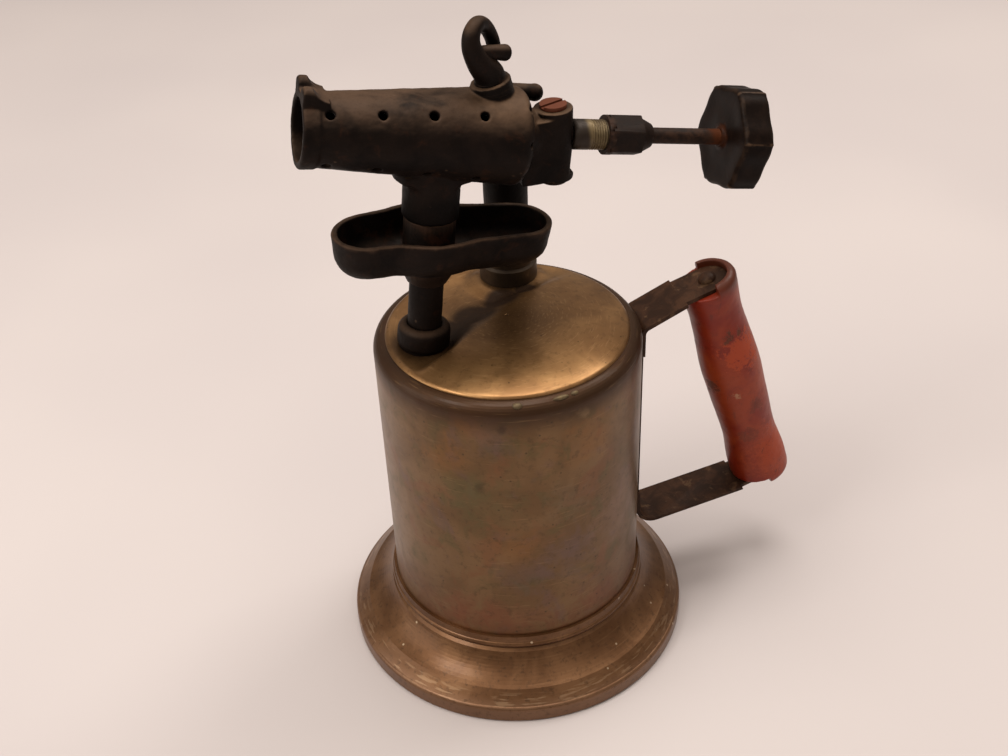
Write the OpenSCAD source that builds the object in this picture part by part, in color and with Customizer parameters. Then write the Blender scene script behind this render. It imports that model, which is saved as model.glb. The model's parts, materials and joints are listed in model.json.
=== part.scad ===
// Vintage gasoline blowtorch: a brass tank on a flared base, with a cast burner,
// a priming pan, a needle valve, an air pump and a turned wooden grip.
// Frame: +Z up, origin at the centre of the base on the table, +X towards the grip.

/* [Tank] */
// Outside diameter of the tank
tank_d = 101.6; // [97:0.2:106]
// Height of the top's edge above the table
shoulder_z = 142.2; // [135:0.1:149]
// Thickness of the tank's sheet
sheet_t = 1.2; // [0.9:0.1:1.5]
// Radius of the rounded shoulder
shoulder_r = 5; // [4.4:0.1:5.4]
// Distance of the top's edge inside the tank's side
top_inset = 4.5; // [4:0.1:4.8]
// Height of the dome above the top's edge
dome_h = 4.2; // [3:0.1:6]
// Depth of the pressed well below the top's edge
well_depth = 1.8; // [1.2:0.1:2.4]
// Width of the slope between the well and the dome
wave_w = 9; // [6:0.5:12]

/* [Base] */
// Diameter of the base's rim
rim_d = 140.4; // [132:0.2:150]
// Height of the rolled rim
rim_h = 7.5; // [6:0.5:9]
// Width of the flat ring that the torch stands on
rim_w = 3.5; // [2.5:0.5:5]
// Width of the sloping brim inside the rim
brim_w = 6.2; // [4:0.2:8]
// Height of the brim's inner edge
brim_z = 12; // [10:0.5:14]
// Height at which the flare meets the tank
flare_z = 21.5; // [19:0.5:24]
// Height of the collar above the flare
collar_h = 7; // [5:0.5:10]
// Radius of the bead on the collar
bead_r = 1.4; // [0.8:0.1:1.6]

/* [Filler] */
// Height of the funnel's outer edge
funnel_z = 30; // [29:0.5:33]
// Height of the funnel at the filler
funnel_top_z = 40; // [38:0.5:43]
// Bore of the filler
filler_d = 12.2; // [10:0.2:14]
// Thickness of the filler's gasket
gasket_t = 2; // [1.2:0.1:3]
// Width across the flats of the filler plug
filler_af = 15; // [13:0.5:18]
// Height of the filler plug's hexagon
filler_hex_h = 8; // [5:0.5:10]

/* [Riser] */
// Distance of the riser's foot from the tank's axis
riser_off = 32.5; // [30:0.5:33.5]
// Lean of the riser towards the grip, in degrees
riser_lean = 6.8; // [4:0.1:9]
// Outside diameter of the riser
riser_d = 12.5; // [11:0.1:14]
// Length of the riser's axis from the tank to the burner's axis
riser_len = 84.3; // [80:0.1:90]
// Diameter of the boss at the riser's foot
boss_d = 19.5; // [18:0.5:21]
// Height of that boss
boss_h = 10; // [8:0.5:12]
// Outside diameter of the pickup tube in the tank
pickup_d = 8; // [6:0.5:9]

/* [Pan] */
// Height of the pan's rim above the tank, along the riser
pan_rim = 49.9; // [46:0.1:52]
// Depth of the pan outside
pan_depth = 15.2; // [13:0.2:17]
// Thickness of the pan's wall
pan_wall = 2.2; // [1.6:0.1:2.8]
// Thickness of the pan's floor
pan_floor = 2.6; // [2:0.1:3.5]
// Radius of the round middle of the pan
pan_mid_r = 20; // [18:0.5:22]
// Radius of the wings where they leave the middle
wing_root_r = 15.5; // [14.5:0.5:17]
// Length of the wing under the muzzle
wing_front = 34.5; // [32:0.5:38]
// Radius of that wing's end
wing_front_r = 13.8; // [12:0.1:14.4]
// Length of the wing towards the grip
wing_back = 44.7; // [41:0.1:48]
// Radius of that wing's end
wing_back_r = 13; // [12:0.1:14.4]
// Diameter of the hub that the pan sits on the riser with
hub_d = 18.4; // [17:0.2:19.6]

/* [Burner] */
// Tilt of the burner, muzzle up, in degrees
burner_tilt = 10.5; // [8:0.1:12]
// Droop of the burner tube below the valve's axis, in degrees
tube_droop = 0.8; // [0:0.1:1.2]
// Length of the burner tube
tube_len = 76.7; // [73:0.1:82]
// Distance of the neck from the muzzle
neck_s = 46; // [42:0.5:50]
// Diameter of the neck
neck_d = 20; // [19:0.2:21]
// Radius of the muzzle's collar
muzzle_r = 12.9; // [12.4:0.1:13.6]
// Radius of the tube just behind that collar
front_r = 12.3; // [12:0.1:12.8]
// Radius of the tube at its back
back_r = 16.8; // [16:0.1:18]
// Thickness of the tube's wall
tube_wall = 2.6; // [2:0.1:3.2]
// Thickness of the tube's back wall
back_wall = 4.2; // [3:0.2:5]
// Diameter of the draught holes
draught_d = 3.1; // [2.4:0.1:4]
// Distance of the first draught hole from the muzzle
draught_s = 8.8; // [8:0.2:12]
// Spacing of the draught holes along the tube
draught_pitch = 16.8; // [15:0.1:17.4]
// Number of draught holes in a row
draught_n = 4; // [3:1:4]

/* [Iron hook] */
// Distance of the hook from the muzzle
hook_s = 64; // [62:0.5:68]
// Lean of the hook towards the muzzle, in degrees
hook_lean = 12; // [4:0.5:14]
// Radius of the hook's loop, to the middle of the rod
hook_r = 8.2; // [7.6:0.2:8.8]
// Diameter of the hook's rod
hook_rod_d = 6.6; // [5.8:0.1:7]
// Height of the loop's middle above the tube
hook_h = 12.8; // [12.4:0.1:15]

/* [Valve] */
// Distance of the head's vertical boss behind the burner tube
head_off = 11.8; // [11:0.2:13]
// Radius of the head's vertical boss
head_r = 6.8; // [6:0.1:7.4]
// Diameter of the valve barrel
barrel_d = 10.6; // [10:0.1:11.8]
// Length of the valve barrel outside the head
barrel_len = 17; // [14:0.5:20]
// Width across the flats of the packing nut
packing_af = 13; // [12.8:0.1:14]
// Length of the packing nut's hexagon
packing_len = 11.6; // [10:0.1:14]
// Diameter of the spindle
spindle_d = 5.7; // [5:0.1:6]
// Length of the spindle between the packing nut and the knob
spindle_show = 27.2; // [20:0.2:32]
// Diameter of the knob over its lobes
knob_d = 37; // [32:0.5:42]
// Depth of the hollows between the knob's lobes
knob_hollow = 2.6; // [1.6:0.1:3.4]
// Thickness of the knob
knob_t = 11.4; // [9:0.1:14]

/* [Pump] */
// Distance of the pump from the tank's axis, towards the grip
pump_x = 10.4; // [8:0.2:11]
// Distance of the pump from the tank's axis, away from the front
pump_y = 32.4; // [30:0.2:32.6]
// Height of the pump's seat above the top's edge
pump_rise = 1.7; // [1:0.1:2.6]
// Diameter of the pump's flange
flange_d = 22.6; // [21.4:0.2:22.8]
// Outside diameter of the pump's barrel
pump_d = 18.4; // [17:0.1:18.8]
// Stroke of the pump
stroke = 65; // [50:1:68]
// Diameter of the pump's rod
rod_d = 5; // [4:0.1:6]
// Diameter of the pump's knob
pump_knob_d = 17; // [15:0.5:19]
// Height of the pump's knob
pump_knob_h = 34.5; // [30:0.5:38]

/* [Handle] */
// Width of the strap
strap_w = 19; // [17.5:0.5:21]
// Thickness of the strap
strap_t = 1.6; // [1.2:0.1:2]
// Width of the strap's tongues under the grip's ends
tongue_w = 16; // [14:0.5:17]
// Distance of the upper arm's bend below the top's edge
strap_drop = 9; // [8.4:0.1:13]
// Height of the bend of the lower arm
strap_low = 33.7; // [32.5:0.1:36]
// Lean of the grip, in degrees
grip_lean = 17.1; // [15:0.1:19]
// Distance of the grip's lower end from the tank's side
grip_off = 62; // [56:0.2:68]
// Height of the grip's lower end above the table
grip_z = 41.3; // [38:0.1:45]
// Length of the grip
grip_len = 111.2; // [106:0.1:116]
// Diameter of the grip at its top
grip_top_d = 23.4; // [22.4:0.1:25]
// Diameter of the grip's neck below its top
grip_neck_d = 21; // [20:0.1:22.4]
// Diameter of the grip's belly
grip_belly_d = 24.4; // [23:0.1:26]
// Diameter of the grip's waist
grip_waist_d = 22.3; // [21.4:0.1:23]
// Diameter of the grip's lower bulge
grip_bulge_d = 25; // [23.4:0.1:26]
// Diameter of the bolt through the grip
bolt_d = 5; // [4:0.1:5.4]

/* [Fits] */
// Gap of soldered and screwed pieces
solder_gap = 0.05; // [0.02:0.01:0.1]
// Radial gap of a running shaft
run_gap = 0.05; // [0.03:0.01:0.08]
// Gap between pieces that move against each other
free_gap = 0.3; // [0.2:0.05:0.5]

/* [Hidden] */
$fn = 48;
// Overshoot of a cut past the face it opens
cut = 1;

// Tank
tank_r = tank_d / 2;
shell_top = shoulder_z - sheet_t - solder_gap;
top_edge_r = tank_r - top_inset;
top_round = 0.6;
foot_step = 0.5;
shell_z = flare_z + foot_step;
seat_z = shoulder_z - well_depth;
plate_edge_drop = sheet_t / 8;
top_flat = 1;
plate_r = top_edge_r - top_flat;
shell_in_r = plate_r + solder_gap;
plate_lap = 0.6;
ring_in_r = plate_r - plate_lap;
edge_blend_w = 2.5;
seat_margin = 1;
seat_blend_w = 2;
// The crease between the well and the dome runs across the top along this line
wave_dir = 45;
wave_x = -12;
wave_y = 1.5;
wave_bow = 1.5;
wave_rate = 3.6;
plate_rings = 13;
plate_segs = 64;

// Base
rim_r = rim_d / 2;
rim_round = 1.8;
rim_edge_round = 1;
collar_r = tank_r + solder_gap;
collar_t = 1.15;
flare_r = collar_r + 2.35;
flare_sweep = [3.4, 3.6];
bead_up = 3;
bead_sink = 0.4;
collar_foot = 1;

// Filler
bottom_r = tank_r - sheet_t - solder_gap;
filler_r = filler_d / 2;
filler_shank_r = filler_r - run_gap;
bung_wall = 2;
bung_r = filler_r + bung_wall;
bung_flange_w = 3;
bung_flange_r = bung_r + bung_flange_w;
funnel_flat_r = bung_flange_r + 2;
bung_flange_h = 2.5;
bung_drop = 6;
bung_z = funnel_top_z - bung_drop;
// Gap at a soft seal
seal_gap = 0.1;
gasket_z = bung_z - seal_gap - gasket_t;
plug_flange_h = 3;
plug_flange_z = gasket_z - seal_gap - plug_flange_h;
plug_flange_r = bung_r + 1;
hex_sink = 0.5;

// Riser
riser_r = riser_d / 2;
boss_step = 2.5;
spigot_r = boss_d / 2 - boss_step;
spigot_under = 3;
spigot_h = sheet_t + spigot_under;
boss_groove = 0.6;
boss_groove_h = 1.5;
boss_round = 3;
socket_t = 1.6;
pipe_wall = 2.6;
pipe_bore_r = riser_r - pipe_wall;
pickup_r = pickup_d / 2;
pickup_wall = 1.2;
strainer_wall = 1.2;
strainer_r = pickup_r + solder_gap + strainer_wall;
strainer_h = 10;
strainer_clear = 2;
strainer_z = funnel_height(riser_off - strainer_r) + strainer_clear;
pickup_drop = 0.5;

// Pan
hub_rise = 3.8;
hub_top = pan_rim + hub_rise;
pan_z = pan_rim - pan_depth;
pan_round = 8;
pan_draft = 0.8;
pan_cone_h = 5;
pan_cone_out = 1.4;
pan_cone_in = 0.8;
pipe_hold = 8;
pipe_end = hub_top + pipe_hold;

// Burner
tip_x = -riser_off + riser_len * sin(riser_lean);
tip_z = seat_z + riser_len * cos(riser_lean);
muzzle_x = tip_x - neck_s * cos(burner_tilt);
muzzle_z = tip_z + neck_s * sin(burner_tilt);
tube_tilt = burner_tilt + tube_droop;
muzzle_round = 0.8;
collar_len = 6;
collar_step = 0.6;
back_round = 3.5;
bore_front_r = muzzle_r - tube_wall;
bore_draft = 0.7;
bore_back_r = back_r - tube_wall - bore_draft;
nipple_r = 4;
neck_r = neck_d / 2;
tube_r_neck = tube_r(neck_s);
neck_flare = 4;
neck_flare_up = 3;
neck_flare_in = 1.4;
flare_t = riser_len - tube_r_neck - neck_s * tan(tube_droop);
horn_y = 5;
horn_r = 3;
horn_rise = 3.4;
lug_len = 8.8;
lug_half_w = 7.8;
lug_root = 4;
lug_pad = 0.4;
lug_round = 1.6;
lug_flat = 3.2;
lug_sag = 4.4;
air_d = 2.6;
air_n = 8;
air_turn = 34;
air_slant = 31;
peg_r = 2.9;
peg_ball_r = peg_r + 0.2;
peg_up = 12.2;
peg_y = 9.6;
peg_len = 6;

// Hook
hook_boss_r = 7;
hook_boss_h = 3.5;
hook_hole_r = 3;
hook_peg_len = 2.4;
hook_open = 40;
hook_turn = 2;
hook_end = 8;
hook_rod_r = hook_rod_d / 2;
hook_ball_r = hook_rod_r + 0.25;
hook_neck_r = hook_rod_r + 0.3;
hook_neck_sink = 1;
hook_foot_step = 1;

// Valve stations along the burner's axis, from the muzzle
head_front = tube_len + solder_gap;
head_s = tube_len + head_off;
head_back = head_s + head_r;
nipple_hold = 5;
nipple_back = head_front + nipple_hold;
needle_reach = 8;
needle_tip = tube_len - needle_reach;
chamber_behind = 1.5;
chamber_back = head_s + chamber_behind;
barrel_end = head_back + barrel_len;
nut_lap = 3.8;
nut_s = barrel_end - nut_lap;
nut_hex_end = nut_s + packing_len;
nut_cone_len = 4.5;
nut_end = nut_hex_end + nut_cone_len;
nut_end_wall = 2;
nut_cone_r = spindle_d / 2 + 1.4;
nut_corner_r = packing_af / 2 + 0.8;
nut_lip = 0.4;
nut_lip_front = 1.4;
nut_lip_back = 1;
knob_hub_len = 1;
knob_hub_r = spindle_d / 2 + 3.2;
knob_s = nut_end + spindle_show + knob_hub_len;
head_up = 9.9;
head_down = 16;
head_foot_step = 1;
head_top_step = 2;
barrel_r = barrel_d / 2;
barrel_step = 1;
barrel_spigot_r = barrel_r - barrel_step;
spindle_r = spindle_d / 2;
spindle_step = 0.65;
spindle_stub_r = spindle_r - spindle_step;
spindle_chamfer = 0.5;
stub_show = 0.6;
spindle_back = 1;
needle_r = 1.2;
needle_point_r = 0.2;
needle_cone = 3;
needle_hold = 8;
jet_r = 0.5;
jet_nose_r = 1.6;
jet_nose = 6;
jet_step = 0.6;
jet_clear = 0.4;
chamber_r = 3.2;
plug_r = 4.7;
// The cone behind the tube ends short of the plug's flange
cone_len = head_off - plug_r / cos(burner_tilt) - head_up * tan(burner_tilt);
cone_step = 1.6;
cone_root_r = back_r - back_round - cone_step;
cone_end_r = head_r + 0.4;
barrel_sink = 0.6;
plug_thread_r = 3.6;
plug_head_h = 1.4;
plug_depth = 4;
plug_slot_w = 1.4;
plug_slot_h = 0.7;
plug_turn = 20;
knob_round = 2.5;
knob_points = 96;
knob_lobes = 6;
knob_nut_h = 3;
knob_nut_af = 8;
head_x = axis_x(head_s);
head_z = axis_z(head_s);

// Pump
pump_r = pump_d / 2;
pump_wall = 1;
pump_bore_r = pump_r - pump_wall;
rod_r = rod_d / 2;
flange_h = 7.5;
flange_chamfer = 1;
collar_wall = 1.2;
cap_h = 4;
cap_spigot_h = 4.5;
cap_r = pump_r + 1.6;
cap_flutes = 24;
flute_r = 0.7;
flute_out = 0.3;
flute_margin = 0.8;
cup_clear = 8;
cup_h = 7;
cup_t = 1.4;
cup_r = pump_bore_r - seal_gap;
cup_chamfer = 1;
cup_nut_h = 4;
cup_nut_af = 9;
cup_web = 3;
barrel_clear = 6;
check_spigot_h = 4;
check_h = 11;
check_clear = 2;
pump_seat_z = shoulder_z + pump_rise;
// The collar rises as far above the top as the stroke needs above the bottom
collar_least = 10;
pump_foot_z = funnel_height(norm([pump_x, pump_y]) - pump_r) + check_clear;
pump_need = check_h + barrel_clear + cup_nut_h + cup_h + stroke + cup_clear + cap_spigot_h;
collar_up = max(collar_least, pump_foot_z + pump_need - pump_seat_z - solder_gap);
cap_z = pump_seat_z + collar_up + solder_gap;
pump_knob_z = cap_z + cap_h + free_gap;
pump_knob_r = pump_knob_d / 2;
knob_foot_in = 1.6;
knob_foot_h = 1.5;
knob_head_h = 12;
knob_top_r = 3.5;
cup_top = cap_z - cap_spigot_h - cup_clear - stroke;
barrel_bottom = cup_top - cup_h - cup_nut_h - barrel_clear;
check_z = barrel_bottom - check_h;
check_bore_r = 5;
check_wall = 2.2;
check_seat_t = 2.5;
check_seat_z = barrel_bottom - check_seat_t;
disc_r = 4;
disc_h = 1.4;
disc_z = check_seat_z - seal_gap - disc_h;
check_hole_r = 1.6;
spring_wire = 0.6;
spring_r = 2.9;
spring_turns = 3;
spring_rings = 12;
spring_sides = 6;
spring_z = check_z + check_wall + spring_wire / 2 + seal_gap;
spring_top = disc_z - spring_wire / 2 - seal_gap;

// Handle
run_r = tank_r + solder_gap;
strap_top = shoulder_z - strap_drop;
grip_x = tank_r + grip_off;
seat_low = 3.4;
seat_in = 3.3;
seat_up = grip_len - seat_in;
tongue_r = tongue_w / 2;
knee = 12.2;
strap_n = [cos(grip_lean), sin(grip_lean)];
seat_up_at = grip_at(seat_up);
seat_low_at = grip_at(seat_low);
strap_mid_x = run_r + strap_t / 2;
bend_up_r = 3;
bend_low_r = 8;
knee_r = 8;
run_turn = asin(strap_w / 2 / run_r);
run_margin = 6;
slot_gap = 0.3;
// Shares of the grip's length at its bulge, waist, belly, neck and top
grip_shares = [0.09, 0.25, 0.58, 0.84, 1];
grip_low_round = 4;
grip_top_round = 3;
grip_steps = 36;
bolt_r = bolt_d / 2;
bolt_hole_r = bolt_r + 0.1;
bolt_out = 0.5;
bolt_head_r = 3.6;
bolt_head_h = 2.6;
nut_af = 8;
nut_h = 4;

// A value run smoothly from 0 to 1
function smooth(t) = let (u = min(1, max(0, t))) u * u * (3 - 2 * u);
function mix(a, b, t) = a + (b - a) * t;
// Points of an arc
function arc(c, r, a0, a1, n = 8) =
    [for (i = [0 : n]) let (a = a0 + (a1 - a0) * i / n) c + r * [cos(a), sin(a)]];
// Points of a curve with one handle
function curve(a, b, c, n = 10) =
    [for (i = [0 : n]) let (t = i / n) (1 - t) * (1 - t) * a + 2 * t * (1 - t) * b + t * t * c];
function unit(v) = v / norm(v);
function left(v) = [-v[1], v[0]];
function normals(path) = let (n = len(path) - 1)
    [for (i = [0 : n]) left(unit(path[min(i + 1, n)] - path[max(i - 1, 0)]))];
// A path moved sideways
function aside(path, d) = let (n = normals(path)) [for (i = [0 : len(path) - 1]) path[i] + n[i] * d];
function backwards(path) = [for (i = [len(path) - 1 : -1 : 0]) path[i]];
// Outline of a strip along a path
function strip(path, t) = concat(aside(path, t / 2), backwards(aside(path, -t / 2)));
// Points of a bend at the corner b
function bend(a, b, c, r, n = 8) = let (
    u = unit(a - b),
    w = unit(c - b),
    half = acos(u * w) / 2,
    o = b + unit(u + w) * r / sin(half),
    p = b + u * r / tan(half) - o,
    q = b + w * r / tan(half) - o,
    a0 = atan2(p[1], p[0]),
    turn = (atan2(q[1], q[0]) - a0 + 540) % 360 - 180)
    arc(o, r, a0, a0 + turn, n);
// Radius of the burner tube at a distance from the muzzle
function tube_r(s) = mix(front_r, back_r, (s - collar_len) / (tube_len - back_round - collar_len));
// Places above an axis from the muzzle, that of the valve or that of the tube
function axis_x(s, tilt = burner_tilt, up = 0) = muzzle_x + s * cos(tilt) + up * sin(tilt);
function axis_z(s, tilt = burner_tilt, up = 0) = muzzle_z - s * sin(tilt) + up * cos(tilt);
// Place on the grip's axis, seen from the side
function grip_at(l) = [grip_x - l * sin(grip_lean), grip_z + l * cos(grip_lean)];
// Height of the funnel's upper face
function funnel_height(r) = mix(funnel_z, funnel_top_z,
    min(1, (bottom_r - r) / (bottom_r - funnel_flat_r)));

// Height of the pressed top
function wave_blend(x, y) = let (
    dx = x - wave_x,
    dy = y - wave_y,
    across = dx * sin(wave_dir) - dy * cos(wave_dir),
    along = dx * cos(wave_dir) + dy * sin(wave_dir),
    crease = wave_bow * (1 - sin(along * wave_rate)))
    smooth((across - crease) / wave_w + 0.5);
function seat_weight(d, r) = 1 - smooth((d - r - seat_margin) / seat_blend_w);
function top_z(x, y) = let (
    r = norm([x, y]),
    dome = shoulder_z + dome_h * (1 - r * r / plate_r / plate_r),
    pressed = mix(seat_z, dome, wave_blend(x, y)),
    edge = smooth((r - plate_r + edge_blend_w) / edge_blend_w),
    edged = mix(pressed, shoulder_z - plate_edge_drop, edge),
    pump = seat_weight(norm([x - pump_x, y - pump_y]), flange_d / 2),
    pumped = mix(edged, pump_seat_z - solder_gap, pump * (1 - edge)))
    mix(pumped, seat_z, seat_weight(norm([x + riser_off, y]), boss_d / 2));

// Frames of the leaning pieces
module on_riser() { translate([-riser_off, 0, seat_z]) rotate([0, riser_lean, 0]) children(); }
// Here +Z runs back along the burner, +X is up and +Y is the near side
module on_burner(tilt = burner_tilt) {
    translate([muzzle_x, 0, muzzle_z]) rotate([0, 90 + tilt, 0]) rotate([0, 0, 180]) children();
}
module on_tube() { on_burner(tube_tilt) children(); }
module on_hook() {
    up = tube_r(hook_s);
    translate([axis_x(hook_s, tube_tilt, up), 0, axis_z(hook_s, tube_tilt, up)])
        rotate([0, -hook_lean, 0]) children();
}
module on_grip() { translate([grip_x, 0, grip_z]) rotate([0, -grip_lean, 0]) children(); }
module on_pump() { translate([pump_x, pump_y, 0]) children(); }
// A ring or tube from z0 to z1
module tube(r, bore, z0, z1) {
    rotate_extrude() translate([bore, z0]) square([r - bore, z1 - z0]);
}
module rod(r, z0, z1) { translate([0, 0, z0]) cylinder(r = r, h = z1 - z0); }
module hexagon(af, z0, z1) {
    translate([0, 0, z0]) cylinder(d = af / cos(30), h = z1 - z0, $fn = 6);
}

// The shell's shoulder turns in under the edge of the top
module tank_shell() {
    c = [tank_r - shoulder_r, shell_top - shoulder_r];
    color("peru") rotate_extrude() polygon(concat(
        [[tank_r - sheet_t, shell_z], [tank_r, shell_z]],
        arc(c, shoulder_r, 0, 90),
        [[shell_in_r, shell_top], [shell_in_r, shell_top - sheet_t]],
        arc(c, shoulder_r - sheet_t, 90, 0)));
}

// The flat edge of the top, which lies on the shell's shoulder
module top_ring() {
    rotate_extrude() polygon(concat(
        [[ring_in_r, shoulder_z - sheet_t], [top_edge_r, shoulder_z - sheet_t]],
        arc([top_edge_r - top_round, shoulder_z - top_round], top_round, 0, 90, 4),
        [[ring_in_r, shoulder_z]]));
}

// The pressed sheet inside that edge, with its well and dome
module top_plate() {
    n = plate_segs;
    top = concat([[0, 0, top_z(0, 0)]], [for (k = [1 : plate_rings], i = [0 : n - 1])
        let (r = plate_r * k / plate_rings, x = r * cos(360 * i / n), y = r * sin(360 * i / n))
        [x, y, top_z(x, y)]]);
    low = [for (p = top) p - [0, 0, sheet_t]];
    m = len(top);
    at = function (k, i) 1 + k * n + i % n;
    last = plate_rings - 1;
    fan = [for (i = [0 : n - 1]) [0, at(0, i + 1), at(0, i)]];
    strips = [for (k = [0 : last - 1], i = [0 : n - 1], f = [
        [at(k, i), at(k, i + 1), at(k + 1, i)],
        [at(k, i + 1), at(k + 1, i + 1), at(k + 1, i)]]) f];
    upper = concat(fan, strips);
    lower = [for (f = upper) [f[0] + m, f[2] + m, f[1] + m]];
    wall = [for (i = [0 : n - 1], f = [
        [at(last, i), at(last, i + 1), at(last, i) + m],
        [at(last, i + 1), at(last, i + 1) + m, at(last, i) + m]]) f];
    polyhedron(concat(top, low), concat(upper, lower, wall));
}

module tank_top() {
    color("goldenrod") difference() {
        union() {
            top_ring();
            top_plate();
        }
        on_riser() rod(spigot_r + solder_gap, -spigot_h - cut, boss_h);
        on_pump() rod(pump_r + solder_gap, seat_z - sheet_t - cut, shoulder_z + dome_h);
    }
}

module tank_bottom() {
    color("peru") rotate_extrude() polygon([
        [bottom_r - sheet_t, shell_z],
        [bottom_r, shell_z],
        [bottom_r, funnel_z],
        [funnel_flat_r, funnel_top_z],
        [bung_r + solder_gap, funnel_top_z],
        [bung_r + solder_gap, funnel_top_z - sheet_t],
        [funnel_flat_r, funnel_top_z - sheet_t],
        [bottom_r - sheet_t, funnel_z - sheet_t]]);
}

module base_skirt() {
    brim = [rim_r - brim_w, brim_z];
    corner = arc([rim_r - rim_round, rim_h - rim_round], rim_round, 0, 70);
    flare_turn = [flare_r, brim_z] + flare_sweep;
    flare = concat([corner[len(corner) - 1]], curve(brim, flare_turn, [flare_r, flare_z]));
    color("saddlebrown") rotate_extrude() polygon(concat(
        [[rim_r - rim_w, 0]],
        arc([rim_r - rim_edge_round, rim_edge_round], rim_edge_round, -90, 0),
        corner,
        flare,
        [[collar_r + collar_t, flare_z + collar_foot]],
        arc([collar_r + collar_t - bead_sink, flare_z + bead_up], bead_r, -60, 60),
        [[collar_r + collar_t, flare_z + collar_h], [collar_r, flare_z + collar_h],
            [collar_r, flare_z - foot_step]],
        backwards(aside(flare, collar_t)),
        [[rim_r - rim_w, rim_h - 2 * rim_round]]));
}

module filler_bung() {
    color("darkgoldenrod") rotate_extrude() polygon([
        [filler_r, bung_z],
        [bung_r, bung_z],
        [bung_r, funnel_top_z],
        [bung_flange_r, funnel_top_z],
        [bung_flange_r, funnel_top_z + bung_flange_h],
        [filler_r, funnel_top_z + bung_flange_h]]);
}

module filler_plug() {
    color("darkgoldenrod") union() {
        rod(filler_shank_r, plug_flange_z, funnel_top_z + bung_flange_h);
        rod(plug_flange_r, plug_flange_z, plug_flange_z + plug_flange_h);
        hexagon(filler_af, plug_flange_z - filler_hex_h, plug_flange_z + hex_sink);
    }
}

module filler_gasket() {
    color("saddlebrown")
        tube(plug_flange_r, filler_shank_r + free_gap, gasket_z, gasket_z + gasket_t);
}

// Narrows one end of the strap to a tongue with a round end, on the grip's axis
module tongue_cut(seat) {
    translate([0, 0, seat]) difference() {
        translate([-knee, -strap_w, -strap_w / 2]) cube([knee + strap_w, 2 * strap_w, strap_w]);
        translate([-knee - cut, -tongue_r, -strap_w])
            cube([knee + cut, tongue_w, 2 * strap_w]);
        cylinder(r = tongue_r, h = 3 * strap_w, center = true);
    }
}

module strap_arm(path) {
    translate([0, strap_w / 2, 0]) rotate([90, 0, 0]) linear_extrude(strap_w)
        polygon(strip(path, strap_t));
}

module handle_strap() {
    end_up = seat_up_at + strap_n * tongue_w;
    knee_up = seat_up_at - strap_n * knee;
    top = [strap_mid_x, strap_top];
    low = [strap_mid_x, strap_low];
    knee_low = seat_low_at - strap_n * knee;
    end_low = seat_low_at + strap_n * tongue_w;
    below = [strap_mid_x, strap_top - 2 * run_margin];
    above = [strap_mid_x, strap_low + 3 * run_margin];
    color("dimgray") difference() {
        union() {
            strap_arm(concat([end_up], bend(end_up, knee_up, top, knee_r),
                bend(knee_up, top, low, bend_up_r), [below]));
            strap_arm(concat([above], bend(top, low, knee_low, bend_low_r),
                bend(low, knee_low, end_low, knee_r), [end_low]));
            rotate([0, 0, -run_turn]) rotate_extrude(angle = 2 * run_turn)
                translate([run_r, strap_low + 2 * run_margin])
                square([strap_t, strap_top - strap_low - 3 * run_margin]);
        }
        on_grip() {
            tongue_cut(seat_up);
            tongue_cut(seat_low);
            rod(bolt_hole_r, -cut, grip_len + cut);
        }
    }
}

// Notch for a tongue: the half towards the tank is cut away, and the tongue's end is let in
module tongue_slot(z0, z1) {
    translate([0, 0, z0]) {
        cylinder(r = tongue_r + slot_gap, h = z1 - z0);
        translate([-grip_belly_d, -grip_belly_d, 0])
            cube([grip_belly_d, 2 * grip_belly_d, z1 - z0]);
    }
}

// Radius of the grip along its length, blended between its named diameters
function grip_r(z) = let (
    stations = grip_shares * grip_len,
    sizes = [grip_bulge_d, grip_waist_d, grip_belly_d, grip_neck_d, grip_top_d] / 2,
    zz = max(z, stations[0]),
    k = max([for (i = [0 : len(stations) - 2]) if (zz >= stations[i]) i]))
    mix(sizes[k], sizes[k + 1], smooth((zz - stations[k]) / (stations[k + 1] - stations[k])));

module handle_grip() {
    z0 = grip_low_round;
    z1 = grip_len - grip_top_round;
    body = [for (i = [0 : grip_steps]) let (z = mix(z0, z1, i / grip_steps)) [grip_r(z), z]];
    color("firebrick") on_grip() difference() {
        rotate_extrude() polygon(concat(
            [[0, 0]],
            arc([grip_r(z0) - grip_low_round, z0], grip_low_round, -90, -10),
            body,
            arc([grip_r(z1) - grip_top_round, z1], grip_top_round, 10, 90),
            [[0, grip_len]]));
        tongue_slot(seat_up - strap_t / 2 - solder_gap, grip_len + cut);
        tongue_slot(-cut, seat_low + strap_t / 2 + solder_gap);
        rod(bolt_hole_r, -cut, grip_len + cut);
    }
}

module handle_bolt() {
    color("gray") on_grip() union() {
        rod(bolt_r, seat_low - strap_t / 2 - nut_h - bolt_out, seat_up + strap_t);
        translate([0, 0, seat_up + strap_t / 2 + solder_gap]) rotate_extrude() polygon(concat(
            [[0, 0]],
            [for (a = [0 : 10 : 90]) [bolt_head_r * cos(a), bolt_head_h * sin(a)]]));
    }
}

module handle_nut() {
    z1 = seat_low - strap_t / 2 - solder_gap;
    color("gray") on_grip() difference() {
        hexagon(nut_af, z1 - nut_h, z1);
        rod(bolt_r + solder_gap, z1 - nut_h - cut, z1 + cut);
    }
}

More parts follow.
